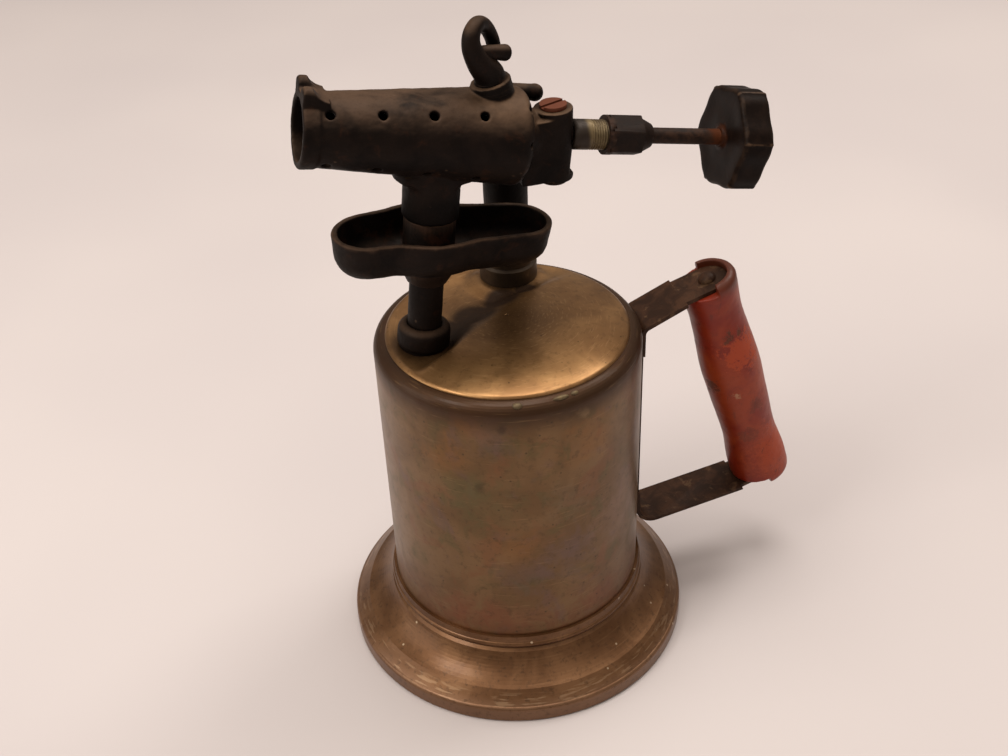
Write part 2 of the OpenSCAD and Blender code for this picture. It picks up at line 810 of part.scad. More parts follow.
module riser_boss() {
    foot = boss_d / 2;
    color("dimgray") difference() {
        union() {
            intersection() {
                on_riser() rotate_extrude() polygon(concat(
                    [[0, -spigot_h], [foot - boss_groove, -spigot_h], [foot - boss_groove, boss_groove_h],
                        [foot, boss_groove_h + boss_groove]],
                    arc([foot - boss_round, boss_h - boss_round], boss_round, 0, 80),
                    [[0, boss_h]]));
                translate([-riser_off - boss_d, -boss_d, seat_z])
                    cube([2 * boss_d, 2 * boss_d, 2 * boss_h]);
            }
            on_riser() rod(spigot_r, -spigot_h, spigot_h);
        }
        on_riser() rod(riser_r + solder_gap, socket_t, boss_h + cut);
        translate([-riser_off, 0, 0])
            rod(pickup_r + solder_gap, seat_z - spigot_h - 2 * cut, seat_z + socket_t);
        on_riser() rod(pipe_bore_r, 0, boss_h);
    }
}

module riser_pipe() {
    color("dimgray") on_riser() tube(riser_r, pipe_bore_r, socket_t, pipe_end);
}

module pickup_tube() {
    color("darkgoldenrod") translate([-riser_off, 0, 0])
        tube(pickup_r, pickup_r - pickup_wall, strainer_z + strainer_wall + solder_gap,
            seat_z - pickup_drop);
}

module pickup_strainer() {
    color("darkgoldenrod") translate([-riser_off, 0, strainer_z]) difference() {
        cylinder(r = strainer_r, h = strainer_h);
        rod(pickup_r + solder_gap, strainer_wall, strainer_h + cut);
        cylinder(r = pickup_r - pickup_wall, h = 3 * strainer_wall, center = true);
    }
}

// A round dish with a large radius at its bottom edge
module dish(r, depth, round) {
    rotate_extrude($fn = 32) polygon(concat(
        [[0, 0]],
        arc([r - pan_draft - round, round], round, -90, 0, 5),
        [[r, depth], [0, depth]]));
}

// The pan's outline as a solid: its round middle and its two wings
module pan_form(inset, depth, round) {
    dish(pan_mid_r - inset, depth, round);
    hull() {
        dish(wing_root_r - inset, depth, round);
        translate([wing_front_r - wing_front, 0, 0]) dish(wing_front_r - inset, depth, round);
    }
    hull() {
        dish(wing_root_r - inset, depth, round);
        translate([wing_back - wing_back_r, 0, 0]) dish(wing_back_r - inset, depth, round);
    }
}

module priming_pan() {
    hub_r = hub_d / 2;
    color("sienna") on_riser() difference() {
        union() {
            translate([0, 0, pan_z]) difference() {
                pan_form(0, pan_depth, pan_round);
                translate([0, 0, pan_floor])
                    pan_form(pan_wall, pan_depth - pan_floor + cut, pan_round - pan_wall);
            }
            rod(hub_r, pan_z + pan_floor / 2, hub_top - solder_gap);
            translate([0, 0, pan_z - pan_cone_h])
                cylinder(r1 = riser_r + pan_cone_in, r2 = hub_r + pan_cone_out,
                    h = pan_cone_h + pan_floor / 2);
        }
        rod(riser_r + solder_gap, pan_z - pan_cone_h - cut, hub_top + cut);
    }
}

// Two horns on the muzzle with a saddle between them, for an iron to rest in
module muzzle_lug() {
    top = muzzle_r + horn_rise;
    root = muzzle_r - lug_root;
    intersection() {
        linear_extrude(lug_len) union() {
            translate([root, -lug_half_w]) square([muzzle_r + lug_pad - root, 2 * lug_half_w]);
            for (side = [-1, 1]) translate([top - horn_r, side * horn_y]) circle(r = horn_r);
        }
        rotate([90, 0, 0]) linear_extrude(3 * lug_half_w, center = true) polygon(concat(
            [[root, 0]],
            arc([top - lug_round, lug_round], lug_round, -90, 0),
            curve([top, lug_flat], [muzzle_r, lug_sag], [front_r - solder_gap, lug_len]),
            [[root, lug_len]]));
    }
}

module burner_tube() {
    flat_end = tube_len - back_round;
    color("darkslategray") difference() {
        union() {
            on_tube() {
                rotate_extrude() polygon(concat(
                    [[0, 0]],
                    arc([muzzle_r - muzzle_round, muzzle_round], muzzle_round, -90, 0),
                    [[muzzle_r, collar_len - collar_step], [front_r, collar_len]],
                    arc([back_r - back_round, flat_end], back_round, 0, 90),
                    [[0, tube_len]]));
                muzzle_lug();
                translate([peg_up, -peg_y, 0]) {
                    rod(peg_r, tube_len - 2 * back_round, tube_len + peg_len);
                    translate([0, 0, tube_len + peg_len]) sphere(r = peg_ball_r);
                }
            }
            on_riser() {
                rod(neck_r, hub_top, riser_len);
                intersection() {
                    rotate_extrude() polygon(concat(
                        [[0, flare_t - neck_flare]],
                        backwards(arc([neck_r + neck_flare, flare_t - neck_flare], neck_flare, 90, 180)),
                        [[neck_r + neck_flare, flare_t + neck_flare_up], [0, flare_t + neck_flare_up]]));
                    translate([-neck_d, neck_flare_in - neck_r, 0])
                        cube([2 * neck_d, neck_d - 2 * neck_flare_in, 2 * riser_len]);
                }
            }
            on_hook() rod(hook_boss_r, -tube_wall, hook_boss_h);
        }
        on_tube() {
            rotate_extrude() polygon([
                [0, -cut],
                [bore_front_r, -cut],
                [bore_back_r, tube_len - back_wall],
                [0, tube_len - back_wall]]);
            for (turn = [45 : 90 : 315], k = [0 : draught_n - 1])
                rotate([0, 0, turn]) translate([0, 0, draught_s + k * draught_pitch])
                    rotate([0, 90, 0]) cylinder(d = draught_d, h = 2 * back_r);
            for (k = [0 : air_n - 1])
                rotate([0, 0, air_turn + 360 * k / air_n])
                    translate([back_r - back_round / 2, 0, tube_len - back_round / 3])
                    rotate([0, air_slant, 0]) rod(air_d / 2, -2 * back_wall, back_wall);
        }
        on_burner() rod(nipple_r + solder_gap, tube_len - back_wall - cut, tube_len + cut);
        on_riser() {
            rod(riser_r + solder_gap, hub_top - cut, pipe_end + solder_gap);
            rod(pipe_bore_r, hub_top, pipe_end + neck_flare);
        }
        on_hook() rod(hook_hole_r + solder_gap, -tube_wall + cut, hook_boss_h + cut);
    }
}

// A bar with round ends along Z, from z0 to z1
module round_bar(r, z0, z1) {
    rotate_extrude() polygon(concat(
        [[0, z0 - r]],
        arc([0, z0], r, -80, 0),
        arc([0, z1], r, 0, 80),
        [[0, z1 + r]]));
}

// The curled rod, with a ball on its stub and a peg on its free end
module hook_loop() {
    rotate([90, 0, 90]) rotate([0, 0, 180 + hook_open]) {
        rotate_extrude(angle = 360 - hook_open + hook_end) translate([hook_r, 0]) circle(r = hook_rod_r);
        translate([hook_r, 0, 0]) sphere(r = hook_ball_r);
    }
    rotate([hook_end, 0, 0]) translate([0, -hook_r, 0])
        rotate([0, 90, 0]) round_bar(hook_ball_r, 0, hook_peg_len);
}

module iron_hook() {
    root_z = hook_boss_h + solder_gap;
    neck_z = hook_h - hook_r + hook_neck_sink;
    color("darkslategray") on_hook() union() {
        rod(hook_hole_r, -tube_wall + cut + solder_gap, root_z + cut);
        intersection() {
            union() {
                translate([0, 0, root_z])
                    cylinder(r1 = hook_boss_r - hook_foot_step, r2 = hook_neck_r, h = neck_z - root_z);
                translate([0, 0, hook_h]) rotate([0, 0, hook_turn]) hook_loop();
            }
            translate([-2 * hook_r, -2 * hook_r, root_z]) cube(4 * hook_r);
        }
    }
}

module burner_head() {
    z0 = head_z - head_down;
    z1 = head_z + head_up;
    color("darkslategray") difference() {
        union() {
            translate([head_x, 0, z0]) cylinder(r = head_r, h = z1 - z0);
            translate([head_x - 2 * head_r, -head_r, z0 + head_foot_step])
                cube([2 * head_r, 2 * head_r, z1 - z0 - head_foot_step - head_top_step]);
            on_burner() translate([0, 0, tube_len - cut])
                cylinder(r1 = cone_root_r, r2 = cone_end_r, h = cone_len + cut);
        }
        on_tube() rod(3 * back_r, 0, head_front);
        on_burner() {
            rod(nipple_r + solder_gap, 0, nipple_back + solder_gap);
            rod(chamber_r, 0, chamber_back + solder_gap);
            rod(barrel_spigot_r + solder_gap, chamber_back, head_back + cut);
        }
        translate([head_x, 0, 0]) {
            rod(plug_thread_r + solder_gap, z1 - plug_depth - solder_gap, z1 + cut);
            rod(plug_thread_r + solder_gap, z0 - cut, z0 + plug_depth + solder_gap);
        }
        // Flat round the barrel, square to its axis
        on_burner() rod(2 * head_r, head_back - barrel_sink, head_back + head_r);
    }
}

module jet_nipple() {
    s1 = tube_len - back_wall;
    s0 = s1 - jet_nose;
    bore_r = needle_r + jet_clear;
    color("gold") on_burner() rotate_extrude() polygon([
        [jet_r, s0],
        [jet_nose_r, s0],
        [nipple_r - jet_step, s1 - jet_step],
        [nipple_r, s1],
        [nipple_r, nipple_back],
        [bore_r, nipple_back],
        [bore_r, needle_tip + needle_r],
        [jet_r, needle_tip - jet_step]]);
}

// A slotted plug whose flange faces up
module slotted_plug() {
    difference() {
        union() {
            rod(plug_r, 0, plug_head_h);
            rod(plug_thread_r, -plug_depth, plug_head_h / 2);
        }
        translate([-plug_r - cut, -plug_slot_w / 2, plug_head_h - plug_slot_h])
            cube([2 * plug_r + 2 * cut, plug_slot_w, plug_head_h]);
    }
}

module top_plug() {
    color("rosybrown") translate([head_x, 0, head_z + head_up + solder_gap])
        rotate([0, 0, plug_turn]) slotted_plug();
}

module bottom_plug() {
    color("rosybrown") translate([head_x, 0, head_z - head_down - solder_gap])
        rotate([180, 0, 0]) slotted_plug();
}

module valve_barrel() {
    color("olivedrab") on_burner() difference() {
        union() {
            rod(barrel_spigot_r, chamber_back + solder_gap, barrel_end);
            rod(barrel_r, head_back - barrel_sink + solder_gap, barrel_end);
        }
        rod(spindle_r + run_gap, 0, barrel_end + cut);
    }
}

module valve_spindle() {
    thick = chamber_back + spindle_back;
    hub_s = knob_s - knob_hub_len - solder_gap;
    end_s = knob_s + knob_t + knob_nut_h + stub_show;
    color("saddlebrown") on_burner() rotate_extrude() polygon([
        [needle_r + run_gap, thick],
        [spindle_r - spindle_chamfer, thick],
        [spindle_r, thick + spindle_chamfer],
        [spindle_r, hub_s],
        [spindle_stub_r, hub_s],
        [spindle_stub_r, end_s - spindle_chamfer],
        [spindle_stub_r - spindle_chamfer, end_s],
        [0, end_s],
        [0, thick + needle_hold + run_gap],
        [needle_r + run_gap, thick + needle_hold + run_gap]]);
}

// The steel pin that shuts the jet, held in the spindle's end
module valve_needle() {
    color("silver") on_burner() rotate_extrude() polygon([
        [0, needle_tip],
        [needle_point_r, needle_tip],
        [needle_r, needle_tip + needle_cone],
        [needle_r, chamber_back + spindle_back + needle_hold],
        [0, chamber_back + spindle_back + needle_hold]]);
}

module valve_packing() {
    color("black") on_burner()
        tube(barrel_r - solder_gap, spindle_r + run_gap, barrel_end + solder_gap,
            nut_hex_end - nut_end_wall);
}

module packing_nut() {
    color("dimgray") on_burner() difference() {
        union() {
            intersection() {
                hexagon(packing_af, nut_s, nut_hex_end);
                rod(nut_corner_r, nut_s - cut, nut_hex_end + cut);
            }
            rod(packing_af / 2 + nut_lip, nut_s - nut_lip_front, nut_s + nut_lip_back);
            translate([0, 0, nut_hex_end - solder_gap])
                cylinder(r1 = packing_af / 2, r2 = nut_cone_r, h = nut_cone_len + solder_gap);
        }
        rod(barrel_r + solder_gap, nut_s - 2 * cut, nut_hex_end - nut_end_wall + solder_gap);
        rod(spindle_r + run_gap, nut_s, nut_end + cut);
    }
}

// Radius of the knob's outline at an angle
function knob_r(a) = knob_d / 2 - knob_hollow * (1 - cos(knob_lobes * a)) / 2;

module valve_knob() {
    r = knob_d / 2;
    color("black") on_burner() difference() {
        union() {
            intersection() {
                translate([0, 0, knob_s]) linear_extrude(knob_t)
                    polygon([for (i = [0 : knob_points - 1]) let (a = 360 * i / knob_points)
                        knob_r(a) * [cos(a), sin(a)]]);
                rotate_extrude() polygon(concat(
                    [[0, knob_s]],
                    arc([r - knob_round, knob_s + knob_round], knob_round, -90, 0, 5),
                    arc([r - knob_round, knob_s + knob_t - knob_round], knob_round, 0, 90, 5),
                    [[0, knob_s + knob_t]]));
            }
            rod(knob_hub_r, knob_s - knob_hub_len, knob_s + cut);
        }
        rod(spindle_stub_r + run_gap, knob_s - knob_hub_len - cut, knob_s + knob_t + cut);
    }
}

module knob_nut() {
    s0 = knob_s + knob_t + solder_gap;
    color("gray") on_burner() difference() {
        hexagon(knob_nut_af, s0, s0 + knob_nut_h);
        rod(spindle_stub_r + run_gap, s0 - cut, s0 + knob_nut_h + cut);
    }
}

module pump_flange() {
    color("darkgoldenrod") on_pump() rotate_extrude() polygon([
        [pump_r + solder_gap, pump_seat_z],
        [flange_d / 2, pump_seat_z],
        [flange_d / 2, pump_seat_z + flange_h - flange_chamfer],
        [flange_d / 2 - flange_chamfer, pump_seat_z + flange_h],
        [pump_r + collar_wall, pump_seat_z + flange_h],
        [pump_r + collar_wall, pump_seat_z + collar_up],
        [pump_r + solder_gap, pump_seat_z + collar_up]]);
}

module pump_barrel() {
    color("goldenrod") on_pump() tube(pump_r, pump_bore_r, barrel_bottom, pump_seat_z + collar_up);
}

module pump_cap() {
    color("darkgoldenrod") on_pump() difference() {
        union() {
            rod(cap_r, cap_z, cap_z + cap_h);
            rod(pump_bore_r - solder_gap, cap_z - cap_spigot_h, cap_z + cut);
        }
        rod(rod_r + run_gap, cap_z - cap_spigot_h - cut, cap_z + cap_h + cut);
        for (i = [0 : cap_flutes - 1]) rotate([0, 0, 360 * i / cap_flutes])
            translate([cap_r + flute_out, 0, 0])
            rod(flute_r, cap_z + flute_margin, cap_z + cap_h - flute_margin);
    }
}

module pump_rod() {
    color("gray") on_pump() rod(rod_r, cup_top - cup_h - cup_nut_h, pump_knob_z + pump_knob_h / 2);
}

module pump_knob() {
    r = pump_knob_r;
    z0 = pump_knob_z;
    z1 = pump_knob_z + pump_knob_h;
    color("saddlebrown") on_pump() difference() {
        rotate_extrude() polygon(concat(
            [[0, z0], [r - knob_foot_in, z0]],
            arc([r - knob_foot_in, z0 + knob_foot_h], knob_foot_h, -90, 0),
            curve([r - knob_foot_in, z0 + 2 * knob_foot_h], [r, z0 + 3 * knob_foot_h],
                [r, z1 - knob_head_h]),
            arc([r - knob_top_r, z1 - knob_top_r], knob_top_r, 0, 80),
            [[0, z1]]));
        rod(rod_r + solder_gap, z0 - cut, z0 + pump_knob_h / 2 + solder_gap);
    }
}

module pump_cup() {
    color("saddlebrown") on_pump() rotate_extrude() polygon([
        [rod_r + solder_gap, cup_top - cup_web],
        [cup_r - cup_t, cup_top - cup_web],
        [cup_r - cup_t, cup_top - cup_h],
        [cup_r, cup_top - cup_h],
        [cup_r, cup_top - cup_chamfer],
        [cup_r - cup_chamfer, cup_top],
        [rod_r + solder_gap, cup_top]]);
}

module cup_nut() {
    z1 = cup_top - cup_web - solder_gap;
    color("gray") on_pump() difference() {
        hexagon(cup_nut_af, z1 - cup_nut_h, z1);
        rod(rod_r + solder_gap, z1 - cup_nut_h - cut, z1 + cut);
    }
}

module check_body() {
    color("darkgoldenrod") on_pump() difference() {
        union() {
            rod(pump_r, check_z, barrel_bottom - solder_gap);
            rod(pump_bore_r - solder_gap, check_z, barrel_bottom + check_spigot_h);
        }
        rod(check_bore_r, check_z + check_wall, check_seat_z);
        rod(check_hole_r, check_z - cut, barrel_bottom + check_spigot_h + cut);
    }
}

module check_disc() {
    color("saddlebrown") on_pump() rod(disc_r, disc_z, disc_z + disc_h);
}

// A coil of wire between the body's floor and the disc
module check_spring() {
    n = spring_turns * spring_rings;
    rise = (spring_top - spring_z) / n;
    points = [for (k = [0 : n], i = [0 : spring_sides - 1]) let (
        a = 360 * k / spring_rings,
        b = 360 * i / spring_sides,
        r = spring_r + spring_wire / 2 * cos(b))
        [r * cos(a), r * sin(a), spring_z + k * rise + spring_wire / 2 * sin(b)]];
    at = function (k, i) k * spring_sides + i % spring_sides;
    sides = [for (k = [0 : n - 1], i = [0 : spring_sides - 1], f = [
        [at(k, i), at(k + 1, i), at(k, i + 1)],
        [at(k, i + 1), at(k + 1, i), at(k + 1, i + 1)]]) f];
    ends = concat(
        [for (i = [1 : spring_sides - 2]) [at(0, 0), at(0, i), at(0, i + 1)]],
        [for (i = [1 : spring_sides - 2]) [at(n, 0), at(n, i + 1), at(n, i)]]);
    echo(least_gap_of_the_spring_to_itself = spring_rings * rise - spring_wire);
    color("silver") on_pump() polyhedron(points, concat(sides, ends));
}

tank_shell();
tank_top();
tank_bottom();
base_skirt();
filler_bung();
filler_plug();
filler_gasket();
handle_strap();
handle_grip();
handle_bolt();
handle_nut();
riser_boss();
riser_pipe();
pickup_tube();
pickup_strainer();
priming_pan();
burner_tube();
iron_hook();
burner_head();
jet_nipple();
top_plug();
bottom_plug();
valve_barrel();
valve_spindle();
valve_needle();
valve_packing();
packing_nut();
valve_knob();
knob_nut();
pump_flange();
pump_barrel();
pump_cap();
pump_rod();
pump_knob();
pump_cup();
cup_nut();
check_body();
check_disc();
check_spring();
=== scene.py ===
"""Vintage gasoline blowtorch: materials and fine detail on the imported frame."""

import json
import math

import bmesh
import bpy
from mathutils import Matrix, Vector


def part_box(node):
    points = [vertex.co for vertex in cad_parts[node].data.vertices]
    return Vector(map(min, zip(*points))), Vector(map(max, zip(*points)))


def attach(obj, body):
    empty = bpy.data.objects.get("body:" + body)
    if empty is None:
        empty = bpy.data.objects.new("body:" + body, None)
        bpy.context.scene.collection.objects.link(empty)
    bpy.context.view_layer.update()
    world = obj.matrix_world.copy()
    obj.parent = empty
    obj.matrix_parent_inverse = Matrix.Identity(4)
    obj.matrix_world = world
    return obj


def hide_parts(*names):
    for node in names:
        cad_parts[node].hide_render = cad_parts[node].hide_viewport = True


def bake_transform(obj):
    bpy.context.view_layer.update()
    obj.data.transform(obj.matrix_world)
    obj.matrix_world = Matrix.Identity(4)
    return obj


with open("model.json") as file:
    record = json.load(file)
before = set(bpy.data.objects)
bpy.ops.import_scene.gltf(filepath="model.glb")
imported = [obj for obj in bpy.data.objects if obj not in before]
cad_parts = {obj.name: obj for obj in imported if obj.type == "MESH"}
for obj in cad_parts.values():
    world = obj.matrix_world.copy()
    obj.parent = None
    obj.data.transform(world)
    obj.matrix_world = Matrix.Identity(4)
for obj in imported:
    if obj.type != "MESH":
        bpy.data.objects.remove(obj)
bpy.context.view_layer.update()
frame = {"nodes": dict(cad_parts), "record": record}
nodes = frame["nodes"]

# Sizes below are in millimetres, and the scene is in metres
MM = 0.001


def shade(red, green, blue):
    """Linear colour of a display colour given from 0 to 255."""
    values = [v / 255 for v in (red, green, blue)]
    return tuple(v / 12.92 if v <= 0.04045 else ((v + 0.055) / 1.055) ** 2.4 for v in values) + (1.0,)


def smooth(t):
    """A value held between 0 and 1, with soft ends."""
    t = min(1.0, max(0.0, t))
    return t * t * (3 - 2 * t)


def mix(a, b, t):
    """The value at a share of the way from one to another."""
    return a + (b - a) * t


# Shader building

# Shares of a noise's shift that go along y and z
SHIFT_Y = 0.7
SHIFT_Z = 1.3
NOISE_MIDDLE = 0.5
# Radius at which marks drawn out round the tank are measured
LATHE_R = 50.0
HOLLOW_SAMPLES = 8
COAT_ROUGHNESS = 0.22


class Finish:
    """A procedural material, put together from small steps."""

    def __init__(self, name):
        self.material = bpy.data.materials.new(name)
        self.material.use_nodes = True
        self.tree = self.material.node_tree
        self.shader = self.tree.nodes["Principled BSDF"]
        self.place = self.add("ShaderNodeTexCoord").outputs["Object"]
        self.geometry = self.add("ShaderNodeNewGeometry")

    def put(self, socket, value):
        if isinstance(value, bpy.types.NodeSocket):
            self.tree.links.new(value, socket)
        else:
            socket.default_value = value

    def add(self, kind, inputs=None, **settings):
        node = self.tree.nodes.new(kind)
        for key, value in settings.items():
            setattr(node, key, value)
        for key, value in (inputs or {}).items():
            self.put(node.inputs[key], value)
        return node

    def math(self, operation, a, b=0.0):
        return self.add("ShaderNodeMath", {0: a, 1: b}, operation=operation).outputs[0]

    def times(self, a, b):
        return self.math("MULTIPLY", a, b)

    def plus(self, a, b):
        return self.math("ADD", a, b)

    def more(self, base, value, share):
        """The base with a share of a value added to it."""
        return self.plus(base, self.times(value, share))

    def most(self, a, b):
        return self.math("MAXIMUM", a, b)

    def flip(self, a):
        return self.math("SUBTRACT", 1.0, a)

    def band(self, value, low, high):
        """0 below low, 1 above high, smooth between them."""
        inputs = {"Value": value, "From Min": low, "From Max": high}
        node = self.add("ShaderNodeMapRange", inputs, interpolation_type="SMOOTHSTEP")
        return node.outputs["Result"]

    def strip(self, value, rise, fall):
        """1 between two pairs of limits: it comes up over the first pair and goes down over the second."""
        return self.times(self.band(value, *rise), self.flip(self.band(value, *fall)))

    def moved(self, stretch, shift):
        location = (shift, shift * SHIFT_Y, shift * SHIFT_Z)
        inputs = {"Vector": self.place, "Scale": stretch, "Location": location}
        return self.add("ShaderNodeMapping", inputs).outputs[0]

    def noise(self, size, detail, rough, stretch=(1, 1, 1), shift=0.0, warp=0.0):
        """Soft noise around 0.5 with features of that many millimetres."""
        inputs = {
            "Vector": self.moved(stretch, shift),
            "Scale": 1 / (size * MM),
            "Detail": detail,
            "Roughness": rough,
            "Distortion": warp,
        }
        return self.add("ShaderNodeTexNoise", inputs).outputs["Fac"]

    def swing(self, noise, reach):
        """Noise moved to lie round 0 and drawn out to that reach, for ragged edges."""
        return self.times(self.plus(noise, -NOISE_MIDDLE), reach)

    def cells(self, size, shift=0.0):
        """Distance to the nearest of scattered points, in cells of that many millimetres."""
        inputs = {"Vector": self.moved((1, 1, 1), shift), "Scale": 1 / (size * MM)}
        return self.add("ShaderNodeTexVoronoi", inputs).outputs["Distance"]

    def specks(self, size, shift, core, edge):
        """1 on a small speck in each cell, which fades out between two shares of the cell's size."""
        return self.flip(self.band(self.cells(size, shift), core, edge))

    def axis(self, name):
        """One coordinate of the surface in millimetres."""
        split = self.add("ShaderNodeSeparateXYZ", {0: self.place})
        return self.times(split.outputs[name], 1 / MM)

    def lathed(self, size, drawn, shift, detail=3.0):
        """Noise drawn out that many times round the tank's axis, as turning and rubbing leave it."""
        split = self.add("ShaderNodeSeparateXYZ", {0: self.place}).outputs
        turn = self.math("ARCTAN2", split["Y"], split["X"])
        squares = [self.math("POWER", split[name], 2.0) for name in ("X", "Y")]
        out = self.math("SQRT", self.plus(*squares))
        around = self.plus(self.times(turn, LATHE_R * MM / drawn), shift)
        place = self.add("ShaderNodeCombineXYZ", {0: around, 1: out, 2: split["Z"]}).outputs[0]
        inputs = {"Vector": place, "Scale": 1 / (size * MM), "Detail": detail}
        return self.add("ShaderNodeTexNoise", inputs).outputs["Fac"]

    def upward(self):
        """1 on faces that look up, 0 on upright ones, -1 on those that look down."""
        return self.add("ShaderNodeSeparateXYZ", {0: self.geometry.outputs["Normal"]}).outputs["Z"]

    def spot(self, centre, radius, soft, ragged=None):
        """1 near a place in millimetres, 0 further off than the radius, with a soft or ragged edge."""
        inputs = {"Vector": self.place, "Location": [-c * MM for c in centre]}
        away = self.add("ShaderNodeMapping", inputs).outputs[0]
        length = self.add("ShaderNodeVectorMath", {0: away}, operation="LENGTH").outputs["Value"]
        reach = self.times(length, 1 / (radius * MM))
        if ragged is not None:
            reach = self.plus(reach, ragged)
        return self.flip(self.band(reach, 1 - soft, 1.0))

    def hollows(self, reach):
        """1 in the open, less in corners within that many millimetres."""
        inputs = {"Distance": reach * MM}
        return self.add("ShaderNodeAmbientOcclusion", inputs, samples=HOLLOW_SAMPLES).outputs["AO"]

    def edges(self):
        """Above 0.5 on ridges and below it in creases of a dense mesh."""
        return self.geometry.outputs["Pointiness"]

    def mix(self, share, a, b):
        return self.add("ShaderNodeMix", {0: share, 6: a, 7: b}, data_type="RGBA").outputs[2]

    def over(self, colour, mask, share, tint):
        """The colour with a tint laid over it where the mask says, at most at that share."""
        return self.mix(self.times(mask, share), colour, tint)

    def done(self, colour, rough, metal=0.0, height=None, depth=0.1, strength=1.0, gloss=0.5, coat=0.0):
        """Joins colour, roughness, metal, gloss, coat and a height in shares of depth, in millimetres."""
        self.put(self.shader.inputs["Base Color"], colour)
        self.put(self.shader.inputs["Roughness"], rough)
        self.put(self.shader.inputs["Metallic"], metal)
        self.put(self.shader.inputs["Specular IOR Level"], gloss)
        self.put(self.shader.inputs["Coat Weight"], coat)
        self.put(self.shader.inputs["Coat Roughness"], COAT_ROUGHNESS)
        if height is not None:
            inputs = {"Height": height, "Distance": depth * MM, "Strength": strength}
            bump = self.add("ShaderNodeBump", inputs)
            self.put(self.shader.inputs["Normal"], bump.outputs["Normal"])
        return self.material


# Heights in millimetres between which a tone comes or goes
TANK_FOOT = (34, 58)
# Painted shade under the top's edge comes in between these heights
TANK_SHADE_BAND = (126, 138)
RIM_TOP = (7, 10)
BEAD = ((29, 30.5), (33, 35))
FLAKE_LINE = ((6.5, 8), (9, 12))
BARREL_LEVEL = (200, 205)
# Painted shade at the burner's neck comes up and goes down between these heights
NECK_SHADE = ((176, 184), (192, 208))
PAN_FLOOR = (172, 175)
GRIP_TOP = (141, 148)
# Where the barrel's plain part ends and its thread begins, along x
THREAD_START = (30, 32)

# Places on the torch
RISER_FOOT = (-32.5, 0.0, 140.4)
PUMP_PLACE = (10.4, 32.4, 144.0)
DOME_PLACE = (0, -2, 144)
PLUG_PLACE = (19.3, 0.0, 228.0)
NUT_PLACE = (46.5, 0.0, 211.3)
KNOB_RUST_PLACE = (82.5, 0.0, 204.6)

# Single marks that the photograph shows: tint and strength where they vary, then place and radius
RUST_ORANGE = shade(112, 58, 28)
# Spots of painted shade and dark reflection over the top's well and slope: place and radius
WELL_SHADES = (
    ((-21.5, 2.0, 141.5), 13.0),
    ((-10.0, 9.0, 142.0), 12.5),
    ((2.5, 15.2, 143.0), 10.5),
    ((13.0, 18.0, 144.0), 6.5),
)
AMBER = shade(150, 96, 44)
VIOLET = shade(100, 80, 80)
GREEN = shade(84, 84, 52)
RED = shade(132, 72, 50)
PINK = shade(136, 104, 90)
GREY = shade(120, 104, 84)
SOOT = shade(40, 30, 20)
PALE = shade(176, 146, 108)
# On the tank a mark's place is an angle in degrees and a height
TANK_R = 50.8
TANK_MARKS = (
    (AMBER, 0.6, -123, 133, 7),
    (AMBER, 0.5, -133, 114, 8),
    (AMBER, 0.4, -72, 120, 10),
    (AMBER, 0.4, -104, 74, 9),
    (VIOLET, 0.5, -114, 128, 9),
    (VIOLET, 0.6, -84, 68, 11),
    (VIOLET, 0.5, -100, 61, 9),
    (GREEN, 0.6, -128, 103, 9),
    (GREEN, 0.5, -118, 98, 12),
    (RED, 0.6, -132, 38, 9),
    (RED, 0.5, -114, 39, 8),
    (RED, 0.5, -64, 39, 8),
    (PINK, 0.5, -52, 77, 14),
    (GREY, 0.4, -82, 94, 9),
    (PALE, 0.6, -74.5, 132, 2.2),
    (SOOT, 0.7, -119, 104, 2.2),
    (SOOT, 0.7, -109.5, 131.5, 2.0),
)
WOOD = shade(74, 44, 30)
CHIP = shade(176, 132, 100)
BRIGHT_PAINT = shade(172, 70, 34)
GRIP_MARKS = (
    (BRIGHT_PAINT, 0.75, (93.5, -11.5, 115.5), 9),
    (BRIGHT_PAINT, 0.4, (115, -9.5, 61), 14),
    (WOOD, 0.8, (87, -12, 123), 3),
    (WOOD, 0.8, (91.5, -11.5, 125), 2.6),
    (WOOD, 0.7, (84, -4.5, 96.5), 4),
    (WOOD, 0.35, (100, -11.5, 70.5), 5),
    (WOOD, 0.35, (101.5, -12, 87), 4),
    (CHIP, 0.7, (92.5, -11.5, 94), 1.8),
)
TAN_MARKS = (
    ((-2.0, -6.0, 234.0), 16),
    ((14.0, -8.0, 228.0), 14),
)

# Materials: noises and spots are in millimetres, and a band gives the values between which it comes up

# Tarnish runs this much further out than its mark, and is weaker
TARNISH_SPREAD = 1.5
TARNISH_SHARE = 0.8
DOME_R = 40
# Reach of the dirt and painted shade round the riser's foot and round the pump
WELL_SHADE_DIRT_R = 19
PUMP_SHADE_DIRT_R = 16
PUMP_SHADE_R = 24


def on_tank(turn, height):
    """A place on the tank's side, at an angle in degrees and a height."""
    angle = math.radians(turn)
    return (TANK_R * math.cos(angle), TANK_R * math.sin(angle), height)


